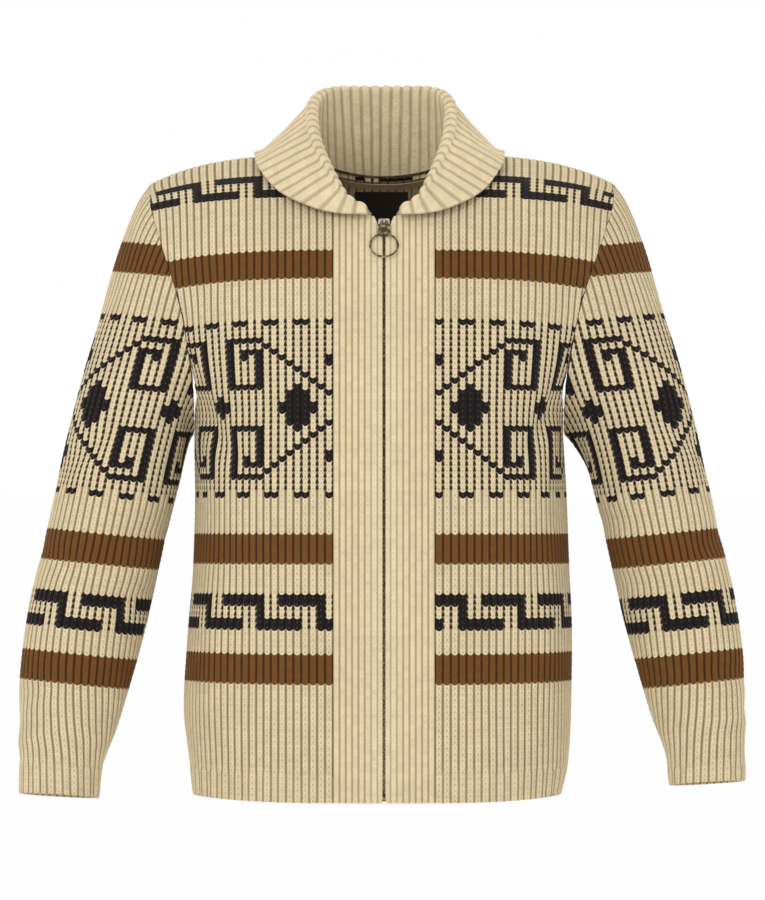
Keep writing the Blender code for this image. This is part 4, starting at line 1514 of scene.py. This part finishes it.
# -------------------------------------------------------------------------------------------------- bands
@dataclass
class Band:
    """A ribbed band between the zip and a front panel, with its corner cut away round the slider."""

    side: Side
    slot: float = 1.6
    edges: tuple = (1.6, 10.5, 24.0, 39.0, BAND_EDGE - GAP / 2)
    notch_height: float = -78.0
    rib: float = 6.7
    plain: float = 13.5  # smooth strip beside the zip
    columns_a_rib: int = 6
    flat: tuple = (0.054, 0.650)

    def tops(self) -> tuple[Array, Array]:
        """Distances from the zip, and the heights where the band ends there.

        Returns:
            The distances and the heights.
        """
        table = np.array(TORSO.rows, float)
        neck = neck_top(self.side, Face.FRONT)(np.array(self.edges))
        neck[0] = np.interp(self.notch_height, table[:, 1], table[:, 0])
        return np.array(self.edges), neck

    def lattice(self) -> Lattice:
        """The band's points, with its ribs as relief.

        Returns:
            The lattice.
        """
        skin = BODY_SKINS[self.side, Face.FRONT]
        count = int(round((self.edges[-1] - self.slot) / self.rib * self.columns_a_rib))
        distance = np.linspace(self.slot, self.edges[-1], count + 1)
        edges, tops = self.tops()
        top = np.interp(distance, edges, tops)
        share = np.linspace(0, 1, 118)[:, None]
        bottom = 0.0
        start = 560.0
        level = np.linspace(0, 1, 118)[:, None] * tops.max()
        over = np.clip((level - start) / (tops.max() - start), 0, 1)
        height = np.where(level < start, level, start + over * (top[None] - start)) + bottom * share
        place = np.repeat(distance[None], len(height), axis=0)
        points, normals = skin.place(height, place)
        ribs = (self.edges[-1] - place) / self.rib
        within = ribs - np.floor(ribs)
        profile = np.abs(np.sin(math.pi * within)) ** 0.7
        flatness = smoothstep(self.plain - 2.5, self.plain + 2.5, place)
        lift = (-1.1 + 1.6 * profile) * flatness + (1 - flatness) * 0.25
        lift = lift + 0.12 * np.cos(2 * math.pi * height / GAUGE.course) * flatness
        ends = np.clip(np.minimum(place - self.slot, self.edges[-1] - place) / 1.2, 0, 1)
        outer = points + (lift * ends - 0.5 * (1 - ends))[..., None] * normals
        inner = points - WALL * normals
        stitches = np.stack([ribs + 40, height / GAUGE.course], axis=-1)
        ids = np.arange(height.size).reshape(height.shape)
        paint = np.zeros((height.shape[0] - 1, height.shape[1] - 1, 4))
        paint[..., 3] = 1
        return Lattice(outer, inner, stitches, ids, paint)

    def build(self, wool: bpy.types.Material) -> None:
        """Builds and dresses the band.

        Args:
            wool: material of the rib.
        """
        obj = self.lattice().build(f"band_{self.side.word}_rib")
        dress(obj, wool)
        place_piece(obj, "rib", f"band_{self.side.word}")


# ------------------------------------------------------------------------------------------------- collar
@dataclass
class Collar:
    """The ribbed shawl collar: up the inside of the stand, over the fold and down the fall."""

    # angle, roll_x, roll_y, roll_z, radius, edge_x, edge_y, edge_z
    stations: tuple = (
        (9, 17, -113, -49, 3.0, 17, -119, -53),
        (20, 37, -108, -38, 4.0, 44, -117, -53),
        (38, 50, -95, -20, 5.5, 84, -106, -42),
        (58, 63, -70, 3, 6.5, 115, -80, -24),
        (80, 74, -34, 32, 7.0, 134, -34, 2),
        (105, 76, 5, 57, 7.0, 136, 22, 8),
        (130, 66, 40, 74, 7.0, 112, 74, -4),
        (155, 40, 62, 79, 7.0, 66, 104, -16),
        (180, 0, 69, 79, 7.0, 0, 112, -20),
    )
    spread: dict = field(default_factory=lambda: {Side.RIGHT: 1.02, Side.LEFT: 0.95})
    wall: float = 3.6
    steps: int = 17
    stand_steps: int = 3
    roll_steps: int = 4
    fall_steps: int = 5
    foot_gap: float = 2.4
    lift: float = 3.8
    rib: float = 13.0
    columns_a_rib: int = 8
    rows: int = 56
    flat: tuple = (0.560, 0.205)

    def half(self, side: Side) -> Array:
        """The skin of one half, path steps by angle steps.

        Args:
            side: the wearer's side.

        Returns:
            The points.
        """
        table = np.array(self.stations, float)
        angles = np.linspace(table[0, 0], table[-1, 0], self.steps + 1)
        read = smooth_through(table[:, 0], table, angles)
        sine, cosine = np.sin(np.radians(angles)), np.cos(np.radians(angles))
        outward = np.stack([side.value * sine, -cosine, 0 * angles], axis=1)
        upward = np.array([0.0, 0.0, 1.0])
        mirror = np.array([side.value * self.spread[side], 1, 1])
        roll, radius, edge = read[:, 1:4] * mirror, read[:, 4:5], read[:, 5:8] * mirror
        foot = TORSO.seam_of_neck(side, angles) - (self.wall + self.foot_gap) * outward
        foot = foot + self.foot_gap * upward
        inside, outside = roll - radius * outward, roll + radius * outward
        steps = [foot + (inside - foot) * t for t in np.linspace(0, 1, self.stand_steps, endpoint=False)]
        for turn in np.linspace(0, math.pi, self.roll_steps, endpoint=False):
            steps.append(roll - radius * math.cos(turn) * outward + radius * math.sin(turn) * upward)
        steps += [outside + (edge - outside) * t for t in np.linspace(0, 1, self.fall_steps + 1)]
        return np.array(steps)

    def body_tree(self) -> BVHTree:
        """The outer skin of the body near the neck, to lay the fall on.

        Returns:
            The tree to measure from.
        """
        points, faces = [], []
        for skin in BODY_SKINS.values():
            grid = skin.points[250::3, ::4]
            rows, columns = grid.shape[:2]
            start = len(points)
            points += [tuple(point) for point in grid.reshape(-1, 3)]
            for i in range(rows - 1):
                for j in range(columns - 1):
                    at = start + i * columns + j
                    faces.append((at, at + 1, at + columns + 1, at + columns))
        return BVHTree.FromPolygons(points, faces)

    def lift_off(self, points: Array, distance: float) -> Array:
        """The points, moved away from the body until each is at least this far outside it.

        Args:
            points: the points.
            distance: the least distance, in millimetres.

        Returns:
            The moved points.
        """
        tree = self.body_tree()
        lifted = points.copy()
        for index in np.ndindex(points.shape[:-1]):
            for _ in range(3):
                place, normal, _, _ = tree.find_nearest(Vector(lifted[index]))
                normal, place = np.array(normal), np.array(place)
                away = np.array([place[0], 1.6 * place[1], max(place[2] + 120, 0) * 1.5])
                if np.dot(normal, away) < 0:
                    normal = -normal
                short = distance - np.dot(lifted[index] - place, normal)
                if short > 0:
                    lifted[index] += short * normal
        return lifted

    def lattice(self) -> Lattice:
        """The collar's points, with ribs that run from the neck seam to the free edge.

        Returns:
            The lattice.
        """
        grid = np.concatenate([self.half(Side.RIGHT), self.half(Side.LEFT)[:, -2::-1]], axis=1)
        fall = self.stand_steps + self.roll_steps
        grid[fall:] = self.lift_off(grid[fall:], self.wall + self.lift)
        fold = grid[fall - 2 : fall + 3].mean(axis=0)
        girth = arc_lengths(fold)
        ribs = int(round(girth[-1] / self.rib))
        columns = np.linspace(0, girth[-1], ribs * self.columns_a_rib + 1)
        at = np.interp(columns, girth, np.arange(len(girth)))
        fine = spline(grid, np.linspace(0, len(grid) - 1, self.rows))
        fine = spline(fine.transpose(1, 0, 2), at).transpose(1, 0, 2)
        normals = unit(np.cross(np.gradient(fine, axis=1), np.gradient(fine, axis=0)))
        toward_neck = np.array([0, TORSO.neck_y, 0]) - fine[0] * np.array([1, 1, 0])
        if np.sum(normals[0] * toward_neck) < 0:
            normals = -normals
        normals[0] = unit(normals[0] * np.array([1.0, 1.0, 0.0]))
        rib = np.linspace(0, ribs, len(columns))[None] + 0 * fine[..., 0]
        length = np.linalg.norm(np.diff(fine, axis=0), axis=2)
        length = np.concatenate([np.zeros((1, fine.shape[1])), np.cumsum(length, axis=0)])
        wander = 0.03 * np.sin(length / 17 + rib * 1.7)
        profile = np.abs(np.sin(math.pi * (rib + wander))) ** 0.75
        ends = np.clip(np.minimum(length, length[-1] - length) / 4, 0, 1)
        lift = (-1.4 + 2.4 * profile) * (0.35 + 0.65 * ends)
        outer = fine + lift[..., None] * normals
        under = (-1.0 + 1.8 * (1 - profile)) * (0.3 + 0.4 * ends)
        inner = fine - (self.wall + under)[..., None] * normals
        stitches = np.stack([rib + wander, length / GAUGE.course], axis=-1)
        ids = np.arange(rib.size).reshape(rib.shape)
        paint = np.zeros((rib.shape[0] - 1, rib.shape[1] - 1, 4))
        paint[..., 3] = 1
        return Lattice(outer, inner, stitches, ids, paint, block=(1, 1))

    def build(self, wool: bpy.types.Material) -> None:
        """Builds and dresses the collar.

        Args:
            wool: material of the rib.
        """
        obj = self.lattice().build("collar_rib")
        dress(obj, wool)
        place_piece(obj, "rib", "collar")


# ---------------------------------------------------------------------------------------------- thin cloth
def thin_cloth(name: str, outer: Array, inner: Array, weave: Array) -> bpy.types.Object:
    """A thin closed sheet from two grids of points.

    Args:
        name: name of the object.
        outer: points of one side, in millimetres.
        inner: points of the other side.
        weave: place of each point on the flat cloth, in millimetres.

    Returns:
        The object, with a weave map.
    """
    ids = np.arange(outer.shape[0] * outer.shape[1]).reshape(outer.shape[:2])
    paint = np.zeros((outer.shape[0] - 1, outer.shape[1] - 1, 4))
    obj = Lattice(outer, inner, weave, ids, paint, block=(1, 1)).build(name)
    obj.data.uv_layers[0].name = "weave"
    return obj


@dataclass
class NeckTrim:
    """What is sewn inside the back of the neck: a tape over the seam, a label and a size tab, both blank."""

    gap: float = 1.2
    wall: float = 0.8
    tape_half: float = 44.0
    tape_height: float = 5.5
    tape_drop: float = 1.5
    tape_flat: tuple = (0.0135, 0.092)  # metres, at its widest, as it lies on the leaning back
    label: tuple = ((-32, 26), (-23, -63))
    tab: tuple = ((26.4, 37), (-32, -53))

    def depth_at(self, x: float, z: float) -> float:
        """y of the back's skin, seen from the front at x and z.

        Args:
            x: place across.
            z: height.

        Returns:
            The depth.
        """
        skin = BODY_SKINS[Side.RIGHT if x < 0 else Side.LEFT, Face.BACK]
        heights = [np.interp(abs(x), np.abs(row[:, 0]), row[:, 2]) for row in skin.points[200:]]
        depths = [np.interp(abs(x), np.abs(row[:, 0]), row[:, 1]) for row in skin.points[200:]]
        return float(np.interp(z, heights, depths))

    def sheet(self, name: str, xs: Array, zs: Array, wave: float) -> bpy.types.Object:
        """A thin piece lying on the inner face of the back.

        Args:
            name: name of the object.
            xs: (rows, columns) places across.
            zs: (rows, columns) heights.
            wave: how far its face ripples.

        Returns:
            The object.
        """
        y = np.vectorize(self.depth_at)(xs, zs)
        points = np.stack([xs, y, zs], axis=-1)
        normals = unit(np.cross(np.gradient(points, axis=0), np.gradient(points, axis=1)))
        normals = facing(normals, np.array([0.0, -1.0, 0.0]))
        down = (zs - zs.max()) / (zs.min() - zs.max()) * math.pi
        ripple = wave * np.sin(xs / 9.0 + zs / 21.0) * np.sin(down)
        near = WALL + self.gap
        outer = points + (near + self.wall + ripple)[..., None] * normals
        inner = points + (near + ripple)[..., None] * normals
        return thin_cloth(name, outer, inner, np.stack([xs, zs], axis=-1))

    def build(self, cloth: bpy.types.Material, tape: bpy.types.Material) -> None:
        """Builds and dresses the tape, the label and the tab.

        Args:
            cloth: material of the label and the tab.
            tape: material of the neck tape.
        """
        seam = np.concatenate([TORSO.neck_cut(side, Face.BACK)[2] for side in Side])
        seam = seam[np.argsort(seam[:, 0])]
        xs = np.linspace(-self.tape_half, self.tape_half, 61)
        tops = np.interp(xs, seam[:, 0], seam[:, 2])
        drops = np.linspace(self.tape_drop, self.tape_drop + self.tape_height, 8)
        grid_x = np.repeat(xs[None], len(drops), axis=0)
        obj = self.sheet("neck_tape_cloth", grid_x, tops[None] - drops[:, None], 0.0)
        dress(obj, tape)
        place_piece(obj, "tape", "neck_tape")
        for name, node, (across, high), wave in (
            ("neck_label_cloth", "neck_label", self.label, 0.5),
            ("size_tab_cloth", "size_tab", self.tab, 0.2),
        ):
            xs, zs = np.meshgrid(np.linspace(*across, 30), np.linspace(*high, 26))
            obj = self.sheet(name, xs, zs, wave)
            dress(obj, cloth)
            place_piece(obj, "label", node)


# ---------------------------------------------------------------------------------------------------- zip
@dataclass
class Zip:
    """The closed zip: two tapes behind the bands, the teeth, the box, the slider, its tab and the ring."""

    tape_width: float = 13.0
    tape_wall: float = 1.2
    tooth_pitch: float = 2.5
    tooth: tuple = (2.5, 1.5, 1.5)
    chain_half: float = 1.3
    chain_depth: float = 1.6
    chain_top: float = -71.0
    tape_top: float = -62.0
    lean: float = 22.0
    hinge_height: float = -62.5
    hinge_standoff: float = 4.2
    tab_length: float = 14.2
    ring_drop: float = 0.25
    ring_half: tuple = (14.7, 13.2)
    ring_wire: float = 1.05

    def up_of(self, height: float) -> float:
        """Length of cloth above the hem at a height on the middle of the front."""
        table = np.array(TORSO.rows, float)
        return float(np.interp(height, table[:, 1], table[:, 0]))

    def line(self, ups: Array, distance: float, depth: float, side: Side = Side.LEFT) -> Array:
        """Points behind the front's face, at a distance from its middle.

        Args:
            ups: heights along the cloth.
            distance: distance from the middle of the zip.
            depth: how far behind the face.
            side: side of the zip.

        Returns:
            The points, in millimetres.
        """
        skin = BODY_SKINS[side, Face.FRONT]
        points, _ = skin.place(ups, distance)
        slope = skin.place(ups + 1, distance)[0] - skin.place(ups - 1, distance)[0]
        away = facing(unit(np.cross(slope, np.array([1.0, 0, 0]))), np.array([0.0, -1, 0]))
        return points - depth * away

    def build_tapes(self, tape: bpy.types.Material) -> None:
        """The two tapes, each a thin strip behind its band.

        Args:
            tape: material of the tapes.
        """
        ups = np.concatenate([np.linspace(14, 340, 60), np.linspace(346, self.up_of(self.tape_top), 60)])
        depth = WALL + 3 * GAP
        for side in Side:
            distances = np.linspace(self.chain_half + GAP, self.tape_width, 7)
            outer = np.stack([self.line(ups, distance, depth, side) for distance in distances], axis=1)
            behind = depth + self.tape_wall
            inner = np.stack([self.line(ups, distance, behind, side) for distance in distances], axis=1)
            weave = np.stack(np.meshgrid(distances, ups), axis=-1)
            obj = thin_cloth(f"zip_tape_{side.word}_cloth", outer, inner, weave)
            dress(obj, tape)
            place_piece(obj, "tape", f"zip_tape_{side.word}")

    def one_tooth(self) -> tuple[Array, list[tuple[int, ...]]]:
        """One tooth, shaped and read back as points and faces.

        Returns:
            Its points and faces.
        """
        bpy.ops.object.select_all(action="DESELECT")
        bpy.ops.mesh.primitive_cube_add(size=1.0, location=(0, 0, 0))
        tooth = bpy.context.object
        bpy.ops.object.mode_set(mode="EDIT")
        bpy.ops.mesh.select_all(action="SELECT")
        bpy.ops.transform.resize(value=self.tooth)
        bpy.ops.mesh.bevel(offset=0.32, segments=1)
        bpy.ops.object.mode_set(mode="OBJECT")
        points = np.array([vertex.co for vertex in tooth.data.vertices])
        faces = [tuple(face.vertices) for face in tooth.data.polygons]
        bpy.data.objects.remove(tooth, do_unlink=True)
        return points, faces

    def build_teeth(self, metal: bpy.types.Material) -> None:
        """The row of closed teeth, hooked left over right in turn.

        Args:
            metal: material of the teeth.
        """
        middle = self.line(np.linspace(14, self.up_of(self.chain_top), 400), 0.0, self.chain_depth + 1.4)
        count = int(arc_lengths(middle)[-1] / self.tooth_pitch)
        middle = resampled(middle, count)
        shape, faces = self.one_tooth()
        points, all_faces = [], []
        for number, place in enumerate(middle):
            hook = 0.28 if number % 2 else -0.28
            all_faces += [tuple(index + len(points) * len(shape) for index in face) for face in faces]
            points.append(shape + place + np.array([hook, 0, 0]))
        mesh = bpy.data.meshes.new("zip_teeth")
        mesh.from_pydata((np.concatenate(points) * MM).tolist(), [], all_faces)
        obj = finished_object("zip_teeth", mesh)
        dress(obj, metal)
        place_piece(obj, "brass", "zip_chain")

    def hinge_frame(self) -> Matrix:
        """Place and lean of the slider, with its origin on the tab's hinge.

        Returns:
            The place as a matrix.
        """
        face = self.line(np.array([self.up_of(self.hinge_height)]), 0.0, 0.0)[0, 1]
        place = Vector((0, face - self.hinge_standoff, self.hinge_height)) * MM
        return Matrix.Translation(place) @ Matrix.Rotation(math.radians(-self.lean), 4, "X")

    def build_ring(self, metal: bpy.types.Material) -> None:
        """The oval ring, round in section, with its top in the tab's barrel.

        Args:
            metal: material of the ring.
        """
        steps, sides = 84, 14
        turn = 2 * math.pi * np.arange(steps) / steps
        wide, tall = self.ring_half
        middle = np.stack([wide * np.sin(turn), 0 * turn, tall * (np.cos(turn) - 1)], axis=1)
        normal = unit(np.stack([np.sin(turn) / wide, 0 * turn, np.cos(turn) / tall], axis=1))
        a = 2 * math.pi * np.arange(sides) / sides
        depth = np.array([0, 1.0, 0])
        points = middle[:, None] + self.ring_wire * (
            np.cos(a)[None, :, None] * normal[:, None] + np.sin(a)[None, :, None] * depth
        )
        faces = []
        for k in range(steps):
            for j in range(sides):
                here, after = k * sides, (k + 1) % steps * sides
                faces.append((here + j, here + (j + 1) % sides, after + (j + 1) % sides, after + j))
        mesh = bpy.data.meshes.new("ring")
        mesh.from_pydata((points.reshape(-1, 3) * MM).tolist(), [], faces)
        drop = Matrix.Translation(Vector((0, 0, self.ring_drop - self.tab_length)) * MM)
        mesh.transform(self.hinge_frame() @ drop)
        obj = finished_object("pull_ring_wire", mesh)
        dress(obj, metal)
        place_piece(obj, "brass", "pull_ring", body="pull_ring")

    def build(self, tape: bpy.types.Material, metal: bpy.types.Material, bright: bpy.types.Material) -> None:
        """Builds the soft parts and dresses the hard ones.

        Args:
            tape: material of the tapes.
            metal: dark metal of the teeth, tab and ring.
            bright: lighter metal of the slider.
        """
        self.build_tapes(tape)
        self.build_teeth(metal)
        self.build_ring(metal)
        for node, material in (("zip_slider", bright), ("zip_box", metal), ("pull_tab", metal)):
            dress(frame["nodes"][node], material)


# ------------------------------------------------------------------------------------------------- studio
@dataclass
class Studio:
    """Pale floor, soft lights and the camera."""

    aim: tuple = (-0.0016, 0.0, -0.3050)
    distance: float = 14.0
    frame_height: float = 0.963
    floor_height: float = -1.10
    floor_size: float = 400.0
    world_strength: float = 1.0

    def build(self) -> None:
        """Makes the floor, the lights and the camera."""
        scene = bpy.context.scene
        bpy.ops.object.select_all(action="DESELECT")
        bpy.ops.mesh.primitive_plane_add(size=self.floor_size, location=(0, 0, self.floor_height))
        floor = bpy.context.object
        floor.name = "floor"
        pale = Graph("pale_floor")
        shade = pale.noise(pale.object_place(), 0.6)
        white = pale.mix(shade, (0.98, 0.98, 0.98, 1), (1.0, 1.0, 1.0, 1))
        pale.links.new(white, pale.shader.inputs["Base Color"])
        pale.constants(Roughness=0.95, Specular_IOR_Level=0.1)
        dress(floor, pale.material)
        world = bpy.data.worlds.new("studio")
        world.use_nodes = True
        world.node_tree.nodes["Background"].inputs[0].default_value = (1.0, 1.0, 1.0, 1.0)
        world.node_tree.nodes["Background"].inputs[1].default_value = self.world_strength
        scene.world = world
        for name, place, size, power in (
            ("key", (-1.4, -3.0, 1.6), 1.2, 34.0),
            ("fill", (2.6, -3.0, 0.4), 2.2, 8.0),
            ("back", (0.4, 2.8, 2.0), 2.0, 12.0),
        ):
            light = bpy.data.lights.new(name, "AREA")
            light.size = size
            light.energy = power
            obj = bpy.data.objects.new(name, light)
            obj.location = place
            direction = Vector(self.aim) - Vector(place)
            obj.rotation_euler = direction.to_track_quat("-Z", "Y").to_euler()
            scene.collection.objects.link(obj)
        data = bpy.data.cameras.new("camera")
        data.sensor_width = 36.0
        data.lens = 36.0 * self.distance / self.frame_height
        data.clip_end = 500.0
        camera = bpy.data.objects.new("camera", data)
        camera.location = (self.aim[0], -self.distance, self.aim[2])
        camera.rotation_euler = (math.pi / 2, 0, 0)
        scene.collection.objects.link(camera)
        scene.camera = camera
        scene.view_settings.view_transform = "Standard"


def write_sizes() -> None:
    """Defines a helper that turns a box into plain numbers, and writes nothing."""

    def plain(box: tuple) -> list:
        """A box as plain numbers."""
        return [[float(number) for number in corner] for corner in box]


def main() -> None:
    """Builds the cardigan piece by piece."""
    logging.basicConfig(level=logging.INFO, format="%(message)s")
    wool, rib, collar = WOOL.material(), RIB_WOOL.material(), COLLAR_WOOL.material()
    beige, darker = (0.60, 0.49, 0.32, 1), (0.42, 0.33, 0.20, 1)
    tape = Woven("seam_tape", beige, darker, thread_mm=0.9, gloss=0.85).material()
    cloth = Woven("label_cloth", (0.012, 0.012, 0.014, 1), (0.005, 0.005, 0.006, 1), gloss=0.55).material()
    metal = Metal("dark_brass").material()
    bright = Metal("worn_slider", dark=(0.30, 0.26, 0.20, 1), rubbed=(0.62, 0.56, 0.45, 1)).material()
    Body().build(wool)
    for side in Side:
        Sleeve(side).build(wool)
        Band(side).build(rib)
    Collar().build(collar)
    NeckTrim().build(cloth, tape)
    Zip().build(tape, metal, bright)
    Studio().build()
    write_sizes()


if __name__ == "__main__":
    main()
